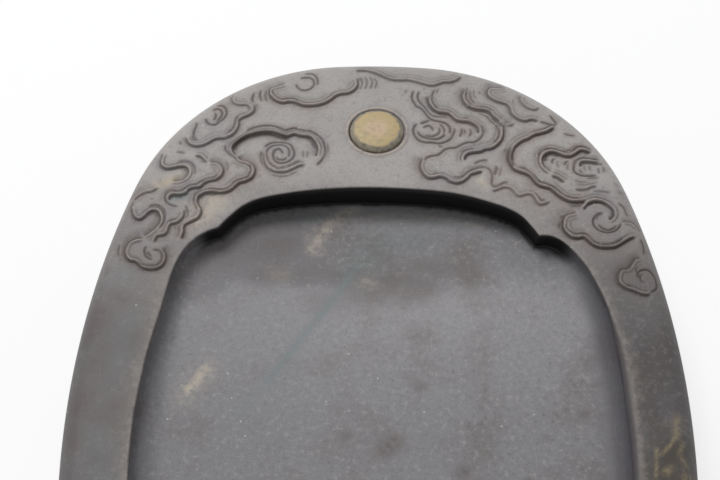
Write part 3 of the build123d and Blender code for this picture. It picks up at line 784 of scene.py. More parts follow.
def inside(points, loop):
    crossed = np.zeros(len(points), bool)
    for a, b in zip(loop, np.roll(loop, -1, 0)):
        if a[1] == b[1]:
            continue
        between = (a[1] > points[:, 1]) != (b[1] > points[:, 1])
        crossed ^= between & (points[:, 0] < a[0] + (points[:, 1] - a[1]) * (b[0] - a[0]) / (b[1] - a[1]))
    return crossed


# Triangles over points, with each loop kept as edges
def spread(loops, points):
    places = np.concatenate([*loops, points])
    edges, start = [], 0
    for loop in loops:
        edges += [(start + i, start + (i + 1) % len(loop)) for i in range(len(loop))]
        start += len(loop)
    flat, _, faces = delaunay_2d_cdt([Vector(p) for p in places.tolist()], edges, [], 0, 1e-7)[:3]
    places, faces = np.array([v[:] for v in flat]), np.array(faces)
    return places, faces, places[faces].mean(1)


# Soft strokes of colour: width, strength and the points along each
def dabbed(places, dabs, trace=smoothLine, step=0.6, reach=3):
    values = np.zeros(len(places))
    for width, strength, points in dabs:
        line = trace(points, step)
        near = np.flatnonzero((np.abs(places[:, :2] - line.mean(0)) < reach * width + np.ptp(line, 0)).all(1))
        away = np.sqrt(((places[near, None, :2] - line[None]) ** 2).sum(2).min(1))
        lift(values, near, strength * hump(away, 0, width))
    return values


def distanceTo(places, line):
    return np.array([np.hypot(*(line - place).T).min() for place in places])


print("outlines and strokes are ready")

# The rounded lip and the wall under it, in rows that go down from the face
rimLine, rimOut = ovalLoop(block["halfWidth"], block["halfLength"], block["roundness"], block["rimStep"])
wellLine, intoStone = wellLoop()
wellX, wellY = wellLine.T
softLip = ramp(wellX, *well["softRight"]) * ramp(wellY, *well["softNear"])
nearLip = ramp(wellY, *well["nearFrom"])
archLip, archFoot = (ramp(wellY, well["archFrom"], width) for width in well["archWidths"])
lipRound = well["lipRound"] + (well["softLip"] - well["lipRound"]) * softLip
lipRound += (well["nearLip"] - lipRound) * nearLip
shift, archShift = well["lipShift"]
lipFoot = wellLine - intoStone * (shift + archShift * archLip - shift * nearLip)[:, None]
lipLoop = lipFoot + intoStone * lipRound[:, None]
lipTop = faceHeight(lipLoop, carve(lipLoop)[0])
softTop = lipTop
for turn in range(well["topRounds"]):
    softTop = softened(softTop)

upper = wellY > -well["setback"]
lean = -well["wallDraft"] * intoStone
lean[upper, 0] = -well["wallDraft"] * (wellX[upper] - well["offset"]) / well["halfWidth"]
lean[upper, 1] = well["undercut"] * np.clip(wellY[upper], 0, None) / well["reach"]
wallFoot = wellLine + lean * 0.3
for turn in range(4):  # the foot's depth follows from its place, and its place from its depth
    wallDepth = floorDepth(wallFoot)
    wallFoot = wellLine + lean * ((wallDepth - lipRound) / hall["poolDepth"])[:, None]
footRound = hall["footRound"] + (hall["archFootRound"] - hall["footRound"]) * archFoot

lipRows, footRows = [], []
for turn in np.radians(well["lipTurns"]):
    place = lipFoot + intoStone * (lipRound * (1 - math.sin(turn)))[:, None]
    height = lipTop + (softTop - lipTop) * math.sin(turn) - lipRound * (1 - math.cos(turn))
    lipRows.append(np.column_stack([place, height]))
for turn in np.radians(well["footTurns"]):
    place = wallFoot - intoStone * (footRound * (1 - math.cos(turn)))[:, None]
    height = block["thickness"] - floorDepth(place) + footRound * (1 - math.sin(turn))
    footRows.append(np.column_stack([place, height]))
between = [lipRows[-1] + (footRows[0] - lipRows[-1]) * share for share in well["wallShares"]]
wallRows = lipRows + between + footRows
floorLoop = wallRows[-1][:, :2]
print("the well's wall has", len(wallRows), "rows of", len(wellLine), "points")


# The rim's line where its rounding has turned by this many degrees
def rimAt(turn):
    return rimLine - rimOut * block["rimRound"] * (1 - math.sin(math.radians(turn)))


def cellOf(point):
    return int(point[0] // strokeCell), int(point[1] // strokeCell)


# The face: rows of points follow every stroke, so that the steps come out crisp
faceLoop = rimAt(block["faceTurn"])
rings = []
for radius, _ in eye["surround"]:
    turns = np.linspace(0, 2 * math.pi, round(2 * math.pi * radius / ringStep), endpoint=False)
    rings.append(np.stack([np.cos(turns), np.sin(turns)], 1) * radius + eye["place"])
rings = np.concatenate(rings)
kept = np.concatenate([rings, lipLoop, (lipLoop + np.roll(lipLoop, 1, 0)) / 2, faceLoop])
rows = [stroke.line + stroke.toLower * offset
        for offset in carving["stepRows"] for stroke in steps if offset <= stroke.reach + 0.5]
rows += [stroke.line + stroke.toLower * offset for offset in carving["lineRows"] for stroke in lines]
rows += [rimAt(turn) for turn in block["faceTurns"]]
detail = thinned(np.concatenate(rows), rowGap, kept)
kept = np.concatenate([kept, detail])
strokeCells = {cellOf(point) for stroke in steps + lines for point in stroke.line}
fine = filled("strokes", kept, lambda point: cellOf(point) in strokeCells)
veined = filled("veins", kept)
kept = np.concatenate([kept, fine, veined])
plain = filled("face", kept)
facePoints = np.concatenate([rings, detail, fine, veined, plain])
facePoints = facePoints[inside(facePoints, faceLoop) & ~inside(facePoints, lipLoop)]
facePlaces, faceTriangles, middles = spread([faceLoop, lipLoop], facePoints)
faceTriangles = faceTriangles[~inside(middles, lipLoop)]
relief, dirt, crest, patina = carve(facePlaces)
face = np.column_stack([facePlaces, faceHeight(facePlaces, relief)])
print("the face has", len(faceTriangles), "triangles")

# The floor of the well, and the flat base
floorPoints = filled("floor", floorLoop)
floorPlaces, floorTriangles, middles = spread([floorLoop], floorPoints[inside(floorPoints, floorLoop)])
floorTriangles = floorTriangles[inside(middles, floorLoop)]
floor = np.column_stack([floorPlaces, block["thickness"] - floorDepth(floorPlaces)])
baseLoop = rimLine - rimOut * block["baseRound"]
basePoints = filled("base", baseLoop)
basePlaces, baseTriangles, _ = spread([baseLoop], basePoints[inside(basePoints, baseLoop)])
base = np.column_stack([basePlaces, np.zeros(len(basePlaces))])
print("the floor has", len(floorTriangles), "triangles")


def node(tree, kind, inputs={}, **settings):
    made = tree.nodes.new(kind)
    for name, value in settings.items():
        setattr(made, name, value)
    for name, value in inputs.items():
        if isinstance(value, bpy.types.NodeSocket):
            tree.links.new(value, made.inputs[name])
        else:
            made.inputs[name].default_value = value
    return made


# A stone's outer wall: a section carried round the outline of the stone
def sweepTree():
    tree = bpy.data.node_groups.new("sweptStone", "GeometryNodeTree")
    sockets = tree.interface
    for name, kind in (("Outline", "Object"), ("Section", "Object"), ("Material", "Material"), ("Weld", "Float")):
        sockets.new_socket(name, in_out="INPUT", socket_type="NodeSocket" + kind)
    sockets.new_socket("Geometry", in_out="OUTPUT", socket_type="NodeSocketGeometry")
    given = node(tree, "NodeGroupInput").outputs
    outline = node(tree, "GeometryNodeObjectInfo", {"Object": given["Outline"]})
    section = node(tree, "GeometryNodeObjectInfo", {"Object": given["Section"]})
    level = node(tree, "GeometryNodeSetCurveNormal", {"Curve": outline.outputs["Geometry"]}, mode="Z_UP")
    swept = node(tree, "GeometryNodeCurveToMesh", {
        "Curve": level.outputs["Curve"], "Profile Curve": section.outputs["Geometry"]})
    welded = node(tree, "GeometryNodeMergeByDistance", {
        "Geometry": swept.outputs["Mesh"], "Distance": given["Weld"]})
    smooth = node(tree, "GeometryNodeSetShadeSmooth", {"Geometry": welded.outputs["Geometry"]})
    real = node(tree, "GeometryNodeRealizeInstances", {"Geometry": smooth.outputs["Geometry"]})
    dressed = node(tree, "GeometryNodeSetMaterial", {
        "Geometry": real.outputs["Geometry"], "Material": given["Material"]})
    node(tree, "NodeGroupOutput", {"Geometry": dressed.outputs["Geometry"]})
    return tree


def added(name, data):
    made = bpy.data.objects.new(name, data)
    bpy.context.scene.collection.objects.link(made)
    return made


def curve(name, points, closed):
    data = bpy.data.curves.new(name, "CURVE")
    data.dimensions = "3D"
    line = data.splines.new("POLY")
    line.points.add(len(points) - 1)
    line.points.foreach_set("co", np.column_stack([np.array(points) * mm, np.ones(len(points))]).ravel())
    line.use_cyclic_u = closed
    return added(name, data)


# Vertices in millimetres and faces of a section swept round an outline
def swept(outline, section, material):
    path = curve("outline", [(x, y, 0) for x, y in outline], True)
    profile = curve("section", [(x, -y, 0) for x, y in section], False)
    holder = added("swept", bpy.data.meshes.new("swept"))
    nodes = holder.modifiers.new("Sweep", "NODES")
    nodes.node_group = stoneSweep
    values = {"Outline": path, "Section": profile, "Material": material, "Weld": sweepWeld}
    for socket in stoneSweep.interface.items_tree:
        if socket.in_out == "INPUT":
            nodes[socket.identifier] = values[socket.name]
    bpy.context.view_layer.update()
    mesh = bpy.data.meshes.new_from_object(holder.evaluated_get(bpy.context.evaluated_depsgraph_get()))
    places = np.empty(len(mesh.vertices) * 3)
    mesh.vertices.foreach_get("co", places)
    faces = [list(p.vertices) for p in mesh.polygons]
    holder.modifiers.remove(nodes)
    for thing in (holder, path, profile):
        bpy.data.objects.remove(thing)
    return places.reshape(-1, 3) / mm, faces


# A part of a piece's surface, with a value for each vertex that the shading reads
def sheet(places, faces, **marks):
    return {"places": places, "faces": faces, "marks": marks}


# One closed piece from several sheets that share their edges
def piece(name, sheets, material):
    faces, start = [], 0
    for part in sheets:
        faces += [[start + corner for corner in side] for side in part["faces"]]
        start += len(part["places"])
    data = bpy.data.meshes.new(name)
    data.from_pydata((np.concatenate([part["places"] for part in sheets]) * mm).tolist(), [], faces)
    for mark in sorted({mark for part in sheets for mark in part["marks"]}):
        values = [part["marks"].get(mark, 0) * np.ones(len(part["places"])) for part in sheets]
        layer = data.attributes.new(mark, "FLOAT", "POINT")
        layer.data.foreach_set("value", np.clip(np.concatenate(values), 0, 1).astype(np.float32))
    work = bmesh.new()
    work.from_mesh(data)
    bmesh.ops.remove_doubles(work, verts=work.verts, dist=sheetWeld)
    bmesh.ops.recalc_face_normals(work, faces=work.faces)
    for side in work.faces:
        side.smooth = True
    gaps = sum(not edge.is_manifold for edge in work.edges)
    work.to_mesh(data)
    work.free()
    made = added(name, data)
    data.materials.append(material)
    sides = sum(len(p.vertices) - 2 for p in data.polygons)
    print(name, "has", sides, "triangles and", gaps, "open edges")
    return made


# Shading. Colours are linear.
stoneLook = {
    "stone": (0.312, 0.296, 0.288, 1),
    "darker": (0.256, 0.239, 0.234, 1),
    "paler": (0.385, 0.368, 0.355, 1),
    "handled": (0.087, 0.083, 0.085, 1),  # the rim and sides, darker towards the near end: partly from the hands, partly painted shade
    "oiled": (0.060, 0.052, 0.046, 1),  # and browner in patches
    "ground": (0.264, 0.258, 0.268, 1),  # floor of the hall
    "pool": (0.150, 0.148, 0.156, 1),
    "stain": (0.130, 0.112, 0.106, 1),
    "patina": (0.235, 0.194, 0.178, 1),  # what handling left on the carved parts
    "coolPatina": (0.212, 0.202, 0.214, 1),
    # dirt, and painted shade, in the grooves and hollows
    "dirt": (0.036, 0.027, 0.023, 1),
    "edge": (0.430, 0.370, 0.320, 1),  # where handling has bared the raised edges, also a painted highlight along the crests and the well's edge
    "lip": (0.100, 0.078, 0.062, 1),
    # ink on the arch wall, darkened further as painted shadow
    "ink": (0.0045, 0.0046, 0.005, 1),
    "shade": (0.060, 0.057, 0.066, 1),  # painted shade at the foot of the walls, with ink left there
    "beige": (0.420, 0.370, 0.310, 1),
    "yellow": (0.400, 0.320, 0.180, 1),
    "blue": (0.155, 0.195, 0.200, 1),
    "blot": (0.105, 0.088, 0.084, 1),
    "vein": (0.330, 0.300, 0.215, 1),
    "dust": (0.520, 0.520, 0.510, 1),
    "spot": (0.055, 0.050, 0.050, 1),
}

eyeLook = {
    "middle": (0.50, 0.37, 0.25, 1),
    "top": (0.44, 0.34, 0.185, 1),
    "band": (0.280, 0.250, 0.195, 1),
    "darkBand": (0.165, 0.155, 0.130, 1),
    "foot": (0.17, 0.14, 0.10, 1),
}


def math2(tree, operation, first, second):
    return node(tree, "ShaderNodeMath", {0: first, 1: second}, operation=operation).outputs[0]


def times(tree, first, second):
    return math2(tree, "MULTIPLY", first, second)


def mixed(tree, factor, first, second):
    return node(tree, "ShaderNodeMix", {0: factor, 6: first, 7: second}, data_type="RGBA").outputs[2]


# Colours over one another, each with its share; a name is a colour of the look
def layered(tree, look, colour, layers):
    for share, over in layers:
        colour = mixed(tree, share, colour, look[over] if isinstance(over, str) else over)
    return colour


def noise(tree, place, scale, detail=3.0, roughness=0.55, distortion=0.0):
    return node(tree, "ShaderNodeTexNoise", {
        "Vector": place, "Scale": scale, "Detail": detail, "Roughness": roughness, "Distortion": distortion,
    }).outputs["Fac"]


def span(tree, value, low, high, top=1.0):
    return node(tree, "ShaderNodeMapRange", {
        "Value": value, "From Min": low, "From Max": high, "To Max": top}, interpolation_type="SMOOTHSTEP").outputs[0]


def stretched(tree, place, turn, scale):
    return node(tree, "ShaderNodeMapping", {
        "Vector": place, "Rotation": (0, 0, math.radians(turn)), "Scale": scale}).outputs["Vector"]


# Small round specks in some cells of a grid of cells
def specks(tree, place, scale, radius, share):
    cells = node(tree, "ShaderNodeTexVoronoi", {"Vector": place, "Scale": scale})
    chosen = span(tree, cells.outputs["Color"], 1 - share, 1.02 - share)
    return times(tree, chosen, span(tree, cells.outputs["Distance"], radius * 2.2, radius, 0.8))


# The emptied node tree of a material or a world
def blank(owner):
    owner.use_nodes = True
    owner.node_tree.nodes.clear()
    return owner.node_tree


def placeOn(tree):
    return node(tree, "ShaderNodeTexCoord").outputs["Object"]


# The end of a material's tree; the bump's distance is in metres
def surfaced(tree, colour, rough, height, strength, distance):
    bump = node(tree, "ShaderNodeBump", {"Height": height, "Strength": strength, "Distance": distance})
    surface = node(tree, "ShaderNodeBsdfPrincipled", {
        "Base Color": colour, "Roughness": rough, "Normal": bump.outputs["Normal"], "Specular IOR Level": 0.2})
    node(tree, "ShaderNodeOutputMaterial", {"Surface": surface.outputs["BSDF"]})


def stoneMaterial():
    material = bpy.data.materials.new("stone")
    tree = blank(material)
    place = placeOn(tree)
    marks = {name: node(tree, "ShaderNodeAttribute", attribute_name=name).outputs["Fac"]
             for name in ("dirt", "patina", "edge", "lip", "ink", "vein", "well", "ground", "shade", "handled",
                          "beige", "yellow", "blue", "blot", "dry", "oil")}
    cloudy = noise(tree, place, 55.0, 5.0, 0.62, 0.3)
    drift = noise(tree, place, 38.0, 5.0, 0.62)
    grain = noise(tree, place, 700.0, 5.0, 0.7)
    fine = noise(tree, place, 2300.0, 2.0, 0.6)
    uneven = span(tree, grain, 0.25, 0.6)
    worn = math2(tree, "SUBTRACT", 0.97, span(tree, grain, 0.50, 0.72, 0.25))
    veins = noise(tree, stretched(tree, place, -38, (150.0, 80.0, 80.0)), 1.0, 4.0, 0.6, 1.2)
    offVein = math2(tree, "ABSOLUTE", math2(tree, "SUBTRACT", veins, 0.5), 0.0)
    scratches = noise(tree, stretched(tree, place, 52, (2600.0, 60.0, 900.0)), 1.0, 2.0, 0.5)
    scratched = span(tree, scratches, 0.68, 0.76, 0.25)
    patina = mixed(tree, span(tree, drift, 0.40, 0.62), stoneLook["patina"], stoneLook["coolPatina"])
    handled = mixed(tree, span(tree, cloudy, 0.46, 0.62, 0.5), stoneLook["handled"], stoneLook["oiled"])
    ground = layered(tree, stoneLook, stoneLook["pool"], [
        (marks["ground"], "ground"),
        (span(tree, drift, 0.50, 0.70, 0.55), "stain"),
        (span(tree, cloudy, 0.50, 0.34, 0.25), "stain"),
    ])
    colour = layered(tree, stoneLook, stoneLook["darker"], [
        (span(tree, cloudy, 0.34, 0.66), "stone"),
        # painted sheen: the forehead paler
        (marks["dry"], "paler"),
        (marks["well"], ground),
        (times(tree, marks["patina"], 0.8), patina),
        (span(tree, grain, 0.50, 0.72, 0.45), "paler"),
        # the rim darker towards the near end and the right: handling and painted shade
        (times(tree, marks["handled"], worn), handled),
        (span(tree, grain, 0.48, 0.28, 0.30), "spot"),
        (span(tree, fine, 0.50, 0.72, 0.25), "spot"),
        (times(tree, marks["vein"], span(tree, offVein, 0.05, 0.0, 0.22)), "vein"),
        # bared edges with a painted highlight
        (times(tree, marks["edge"], span(tree, grain, 0.25, 0.62, 0.8)), "edge"),
        # painted shade at the foot of the well's walls, with ink
        (marks["shade"], "shade"),
        (marks["oil"], "oiled"),
        *[(times(tree, marks[name], uneven), name) for name in ("blot", "blue", "yellow", "beige")],
        (marks["lip"], "lip"),
        # dirt and painted shade in the grooves and hollows
        (times(tree, marks["dirt"], span(tree, grain, 0.1, 0.5)), "dirt"),
        (specks(tree, place, 330.0, 0.045, 0.30), "dust"),
        (specks(tree, place, 110.0, 0.05, 0.16), "spot"),
        (scratched, "paler"),
        # ink with painted shadow on the arch wall
        (marks["ink"], "ink"),
    ])
    rough = node(tree, "ShaderNodeMapRange", {
        "Value": grain, "From Min": 0.3, "From Max": 0.7, "To Min": 0.46, "To Max": 0.60}).outputs[0]
    height = math2(tree, "ADD", times(tree, grain, 0.6), times(tree, fine, 0.35))
    height = math2(tree, "SUBTRACT", height, scratched)
    surfaced(tree, colour, rough, height, 0.5, 0.00016)
    return material


def eyeMaterial():
    material = bpy.data.materials.new("eye_stone")
    tree = blank(material)
    place = placeOn(tree)
    middle = (eye["place"][0] * mm, eye["place"][1] * mm, 0)
    away = node(tree, "ShaderNodeVectorMath", {0: place, 1: middle}, operation="SUBTRACT").outputs[0]
    flat = node(tree, "ShaderNodeVectorMath", {0: away, 1: (1, 1, 0)}, operation="MULTIPLY").outputs[0]
    radius = node(tree, "ShaderNodeVectorMath", {0: flat}, operation="LENGTH").outputs["Value"]
    wobble = noise(tree, place, 330.0, 4.0, 0.65)
    radius = math2(tree, "ADD", times(tree, radius, 1000.0), times(tree, wobble, 2.0))
    grain = noise(tree, place, 900.0, 3.0, 0.6)
    mottles = span(tree, noise(tree, place, 480.0, 3.0, 0.6), 0.45, 0.62)
    colour = layered(tree, eyeLook, eyeLook["middle"], [
        (span(tree, radius, 2.6, 5.2), "top"),
        (span(tree, radius, 6.7, 7.2), mixed(tree, mottles, eyeLook["band"], eyeLook["darkBand"])),
        (span(tree, radius, 7.8, 8.2), "foot"),
        (span(tree, grain, 0.48, 0.68, 0.45), "band"),
    ])
    rough = math2(tree, "ADD", span(tree, grain, 0.2, 0.8, 0.2), 0.36)
    surfaced(tree, colour, rough, math2(tree, "ADD", grain, wobble), 0.4, 0.00012)
    return material


stoneSweep = sweepTree()
stonePaint, eyePaint = stoneMaterial(), eyeMaterial()

# The stone block
top, rimRound, baseRound = block["thickness"], block["rimRound"], block["baseRound"]
section = [(-rimRound * (1 - math.sin(turn)), top - rimRound * (1 - math.cos(turn)))
           for turn in np.radians(np.linspace(block["faceTurn"], 90, 5))]
section += [(0, level) for level in block["sideLevels"]]
section += [(-baseRound * (1 - math.cos(turn)), baseRound * (1 - math.sin(turn)))
            for turn in np.radians(np.linspace(0, 90, 7))]
side, sideFaces = swept(rimLine, section, stonePaint)

count = len(wellLine)
wallFaces = [(j * count + i, j * count + (i + 1) % count, (j + 1) * count + (i + 1) % count, (j + 1) * count + i)
             for j in range(len(wallRows) - 1) for i in range(count)]
wall = np.concatenate(wallRows)


# The rim is darker towards the near end and towards the right: partly where it is handled, partly painted shade
def handledAndShadedAt(places):
    x, y = places[:, 0], places[:, 1]
    return ramp(y, 60 + 2 * ramp(x, 0, -30), -52) * (0.78 + 0.22 * ramp(x, -20, 60))


# The well's edge is paler along the sides: worn by handling, and painted as a highlight
def lipWearAndHighlight(y):
    return 0.3 * ramp(y, 42, -12)


# Where the walls are black with ink and painted shadow: under the arch, and a little past the right cusp
def archAt(places):
    return ramp(places[:, 1], well["archFrom"], 5) * ramp(places[:, 0], -47, 4)


# Painted shade along the foot of the walls, with ink left there, less of it under the cusps
def shadeAt(places):
    return (0.3 + 0.5 * ramp(places[:, 0], 0, 20)) * (1 - 0.62 * ramp(places[:, 1], 24, 16))


# The ground part of the floor is paler than the end where the ink stands; its darkening towards the near end is
# painted shade, and its paler strip by the arch wall is painted light
def groundAt(places):
    x, y = places[:, 0], places[:, 1]
    shore = 33 - 6 * ramp(x, -32, -16) + 6 * ramp(x, 10, 16) + softNoise(x, y, 4.0, 31)
    share = 0.29 + 0.71 * ramp(y, shore, -(4 + 9 * ramp(x, 6, 20)))
    # darker to the left, and painted shade darkens it towards the near end
    share = share * (1 - 0.26 * ramp(x, 0, -40)) * (1 - 0.55 * ramp(y, 34, -50))
    # painted light: a paler strip along the arch wall, against the lamp's shadow there
    return np.maximum(share, 0.8 * ramp(y, 44, 8) * ramp(x, -30, 20))


# Marks of colour on the face and on the floor of the well
faceDabs = {
    "beige": [
        (3.6, 0.85, [(-46, 46), (-42, 51)]), (1.0, 0.8, [(25.6, 59.2), (27, 56.8)]),
        (2.4, 0.5, [(-57, 56), (-51, 60.5)]),
    ],
    "yellow": [
        (1.0, 0.7, [(-57, 56), (-55, 57), (-52.9, 58)]), (0.8, 0.32, [(67.2, -6.6), (66.6, -8.5), (66.1, -11.2)]),
        (0.4, 0.45, [(66.1, -11), (64.5, -13.2), (62.2, -15.3)]),
        (0.35, 0.45, [(61.4, -14), (61, -17), (60.3, -21.1), (59.4, -25)]),
        (0.8, 0.42, [(64, -18.6), (62.6, -19.6)]), (0.5, 0.35, [(67.4, -13), (66.4, -15), (67.6, -18)]),
        (0.8, 0.35, [(67, -20.5), (66, -23)]),
    ],
    "blue": [
        (1.1, 0.8, [(-52.5, 52), (-50, 53)]), (1.5, 0.3, [(12, 73), (17, 72)]),
        (2.6, 0.2, [(-58.6, 17), (-60.3, 6)]), (3.0, 0.2, [(-62.5, -13), (-60, -24)]),
        (2.2, 0.2, [(-65.5, 26), (-62, 29)]),
    ],
    "blot": [
        (6.5, 0.5, [(60, 36), (62, 31)]), (3.0, 0.8, [(-66, 18), (-67.3, 12.5)]),
        (2.5, 0.8, [(-64.3, 8.5), (-65.5, 2.5)]), (2.8, 0.85, [(-66.8, -2.5), (-67.4, -7)]),
        (2.5, 0.7, [(-57.5, 12), (-58.8, 10)]), (2.0, 0.7, [(-58.3, -5.5), (-60, -6)]),
        (2.4, 0.6, [(-60, -9.5), (-63, -8.5)]), (1.2, 0.8, [(-61.2, -18.5), (-61.8, -18.4)]),
        (2.5, 0.7, [(-67.8, -11.5), (-67.2, -15)]), (2.2, 0.6, [(-61.5, 22), (-64, 23.5)]),
        (0.6, 0.7, [(60.5, 58.5), (60.8, 58.4)]), (0.7, 0.7, [(61, 56.2), (61.6, 56)]),
        (0.8, 0.6, [(32.5, 80), (34, 78.5)]),
    ],
    "oil": [
        (3.8, 1.0, [(65.5, -14), (64, -17), (63, -22), (61, -32), (57, -50)]),
    ],
}
floorDabs = {
    "beige": [
        (1.5, 0.6, [(-6.3, 55.7), (-10.5, 53.4), (-14, 49.2), (-17.3, 42)]), (1.9, 0.5, [(-15, 47), (-17, 43)]),
        (1.3, 1.0, [(-41, 7), (-42.8, 4.1), (-44.6, 1.3)]), (3.0, 0.3, [(-41, 7), (-45, 0)]),
        (2.0, 0.22, [(-26, 34), (-24, 34)]), (1.7, 0.3, [(-4, 32.7), (-2, 32.7)]),
        (0.7, 0.4, [(-9, 52.6), (5.3, 54.2), (19.9, 52.1), (26, 49.8)]),
    ],
    "blue": [
        (1.6, 0.4, [(-20, 52), (0, 55), (24, 50.5)]), (1.1, 0.75, [(-5.5, 38), (-12, 26.5), (-18.4, 16), (-26, 4)]),
        (1.1, 0.4, [(-26, 4), (-33, -5)]), (5.0, 0.35, [(-6, 36), (0, 44), (8, 47)]),
    ],
    "blot": [
        (1.1, 0.7, [(-7.6, -9.7), (-7, -9.4)]), (2.4, 0.85, [(1.6, -12.6), (3.6, -11)]),
        (1.3, 0.5, [(9.6, 3), (10.4, 3.3)]), (1.1, 0.7, [(47.2, -3.2), (48, -3.2)]),
        (1.6, 0.8, [(18.6, -18), (19.6, -17.6)]), (0.9, 0.4, [(38, -9.5), (38.3, -9)]),
        (1.3, 0.5, [(-19, 41), (-18, 40)]), (4.5, 0.35, [(-15, 27), (10, 31)]), (3.5, 0.42, [(-30, 33), (-14, 36)]),
        (4.0, 0.3, [(-40, 36), (-22, 42)]), (6.5, 0.6, [(-44, 38), (-34, 42), (-24, 44)]),
        (2.5, 0.35, [(-12, 35), (-2, 33.5), (8, 34)]), (2.0, 0.3, [(-2, 44), (-1, 41)]),
        (3.0, 0.4, [(10, 38), (24, 36)]), (1.5, 0.35, [(-22, -46), (-21, -45)]), (2.2, 0.4, [(24, -52), (26, -51)]),
    ],
}
# Painted shadow in the hollows under the clouds, in the drawing's frame
hollowShadows = [
    (0.9, 1.0, [
        (-37.6, 74.6), (-36.9, 76), (-35, 77.7), (-33, 78.5), (-31, 79.1), (-28.5, 79.2), (-26.5, 78.6),
        (-24.3, 77.8),
    ]),
    (0.5, 0.7, [(-18.5, 77.8), (-17.3, 76.8), (-16.5, 75)]),
    (0.6, 0.8, [(-45.3, 58.6), (-44, 59.4), (-41.5, 59.6)]),
    (0.4, 0.7, [(-52.6, 58.6), (-51.5, 58.6), (-50.3, 58.5)]), (0.5, 0.6, [(-50.9, 67.6), (-49.5, 67)]),
    (0.5, 0.7, [(-57.6, 53.3), (-56.6, 53.5), (-55.7, 53)]),
    (0.6, 1.0, [(43.9, 70.6), (44.2, 71.6), (45.3, 72.3), (47, 71.9)]),
    (0.5, 0.9, [(53.1, 68.8), (54, 69.3), (56, 69.2), (58, 68.8)]),
    (0.4, 0.7, [(52.7, 72.4), (53.6, 72.8), (55, 72.4)]),
    (0.5, 0.8, [(24.6, 88.4), (26, 87.4), (28, 87), (30, 86.3)]),
    (0.6, 0.8, [(31.3, 84.2), (32.2, 83.2), (33, 82)]),
    (0.4, 0.8, [(14.6, 88.2), (15.5, 87), (17, 86.1), (19, 85.8)]),
    (0.4, 0.7, [(21.5, 83.2), (24, 82.8), (26, 81.8)]),
    (0.4, 0.9, [(34.9, 74), (34.8, 72), (34.9, 70), (35.3, 68.6)]), (0.8, 0.7, [(49.5, 55.8), (51, 56)]),
]

toLip = distanceTo(facePlaces, lipLoop)
toEye = np.hypot(*(facePlaces - eye["place"]).T)
faceX, faceY = facePlaces.T
rightwards = ramp(faceX, 0, 30)
# the well's edge, worn and painted with a highlight
worn = lipWearAndHighlight(faceY) * (1 - 0.35 * rightwards) * np.exp(-toLip / (1.8 - 1.1 * rightwards))
spots = {name: dabbed(facePlaces, dabs) for name, dabs in faceDabs.items()}
spots["beige"] = np.maximum(spots["beige"], 0.9 * band(toEye, eye["ring"], 0.35))
faceSheet = sheet(
    face, faceTriangles,
    # dirt and painted shade: in the grooves, in the eye's groove and in the hollows under the clouds
    dirt=np.maximum.reduce([
        dirt * (0.85 + 0.15 * ramp(faceX, 34, 10)),
        0.45 * band(toEye, eye["groove"], 0.3),
        dabbed(facePlaces, hollowShadows, drawn)]),
    # paler edges: bared by handling, and painted as a highlight along the crests
    edge=np.maximum.reduce([0.42 * crest, band(toEye, eye["ring"], 0.4), worn]),
    patina=np.maximum(patina * (1 - 0.5 * ramp(faceY, 84, 6) * ramp(faceX, 16, -6)), band(toEye, 8, 1.4)),
    # darker rim: handling and painted shade
    handled=handledAndShadedAt(facePlaces),
    # painted sheen: the forehead paler
    dry=0.5 * ramp(faceY, 54, 8),
    vein=0.6 * ramp(faceX, 58, 6) * ramp(faceY, -4, -6) * ramp(faceY, -55, 20),
    **spots,
)

depth = block["thickness"] - wall[:, 2]
lipShare = ramp(depth, 0.15, 0.5)
wallSheet = sheet(
    wall, wallFaces,
    # darker rim: handling and painted shade
    handled=handledAndShadedAt(wall) * (1 - lipShare),
    well=lipShare,
    ground=groundAt(wall) * lipShare,
    # painted shade with ink, down the walls
    shade=shadeAt(wall) * lipShare,
    lip=band(depth, 0.9, 0.9) * (0.3 + 0.6 * archAt(wall)),
    # the well's edge, worn and painted with a highlight
    edge=lipWearAndHighlight(wall[:, 1]) * ease(1 - depth / (0.4 + 0.5 * ramp(wall[:, 0], 0, 30))),
    # ink with painted shadow on the arch wall
    ink=archAt(wall) * lipShare,
)

toFoot = distanceTo(floorPlaces, floorLoop)
floorSheet = sheet(
    floor, floorTriangles,
    well=1.0,
    ground=groundAt(floor),
    # ink with painted shadow along the arch wall's foot
    ink=archAt(floor) * ease(1.4 - toFoot / 0.8),
    # painted shade along the foot of the walls, with ink
    shade=shadeAt(floor) * ease(1 - toFoot / (6.5 - 3 * ramp(floor[:, 1], 10, 25))),
    **{name: dabbed(floor, dabs) for name, dabs in floorDabs.items()},
)

stone = piece("carved_block", [
    faceSheet, wallSheet, floorSheet,
    sheet(side, sideFaces, handled=handledAndShadedAt(side)), sheet(base, baseTriangles, handled=handledAndShadedAt(base))], stonePaint)
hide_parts("stone_block")
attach(stone, "root")

# The stone eye
turns = np.linspace(0, 2 * math.pi, eye["sides"], endpoint=False)
eyeOutline = [(eye["place"][0] + eye["radius"] * math.cos(t), eye["place"][1] + eye["radius"] * math.sin(t))
              for t in turns]
eyeSection = [(across - eye["radius"], block["thickness"] + up) for across, up in eye["section"]]
plug, plugFaces = swept(eyeOutline, eyeSection, eyePaint)
wavy = softNoise(plug[:, 0], plug[:, 1], 3.1, 21)
head = plug[:, 2] > block["thickness"] + eye["wavyFrom"]
plug[:, 2] += np.where(head, eye["waviness"] * (wavy - 1), 0)
eyeStone = piece("eye_plug", [sheet(plug, plugFaces)], eyePaint)
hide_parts("stone_eye")
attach(eyeStone, "root")

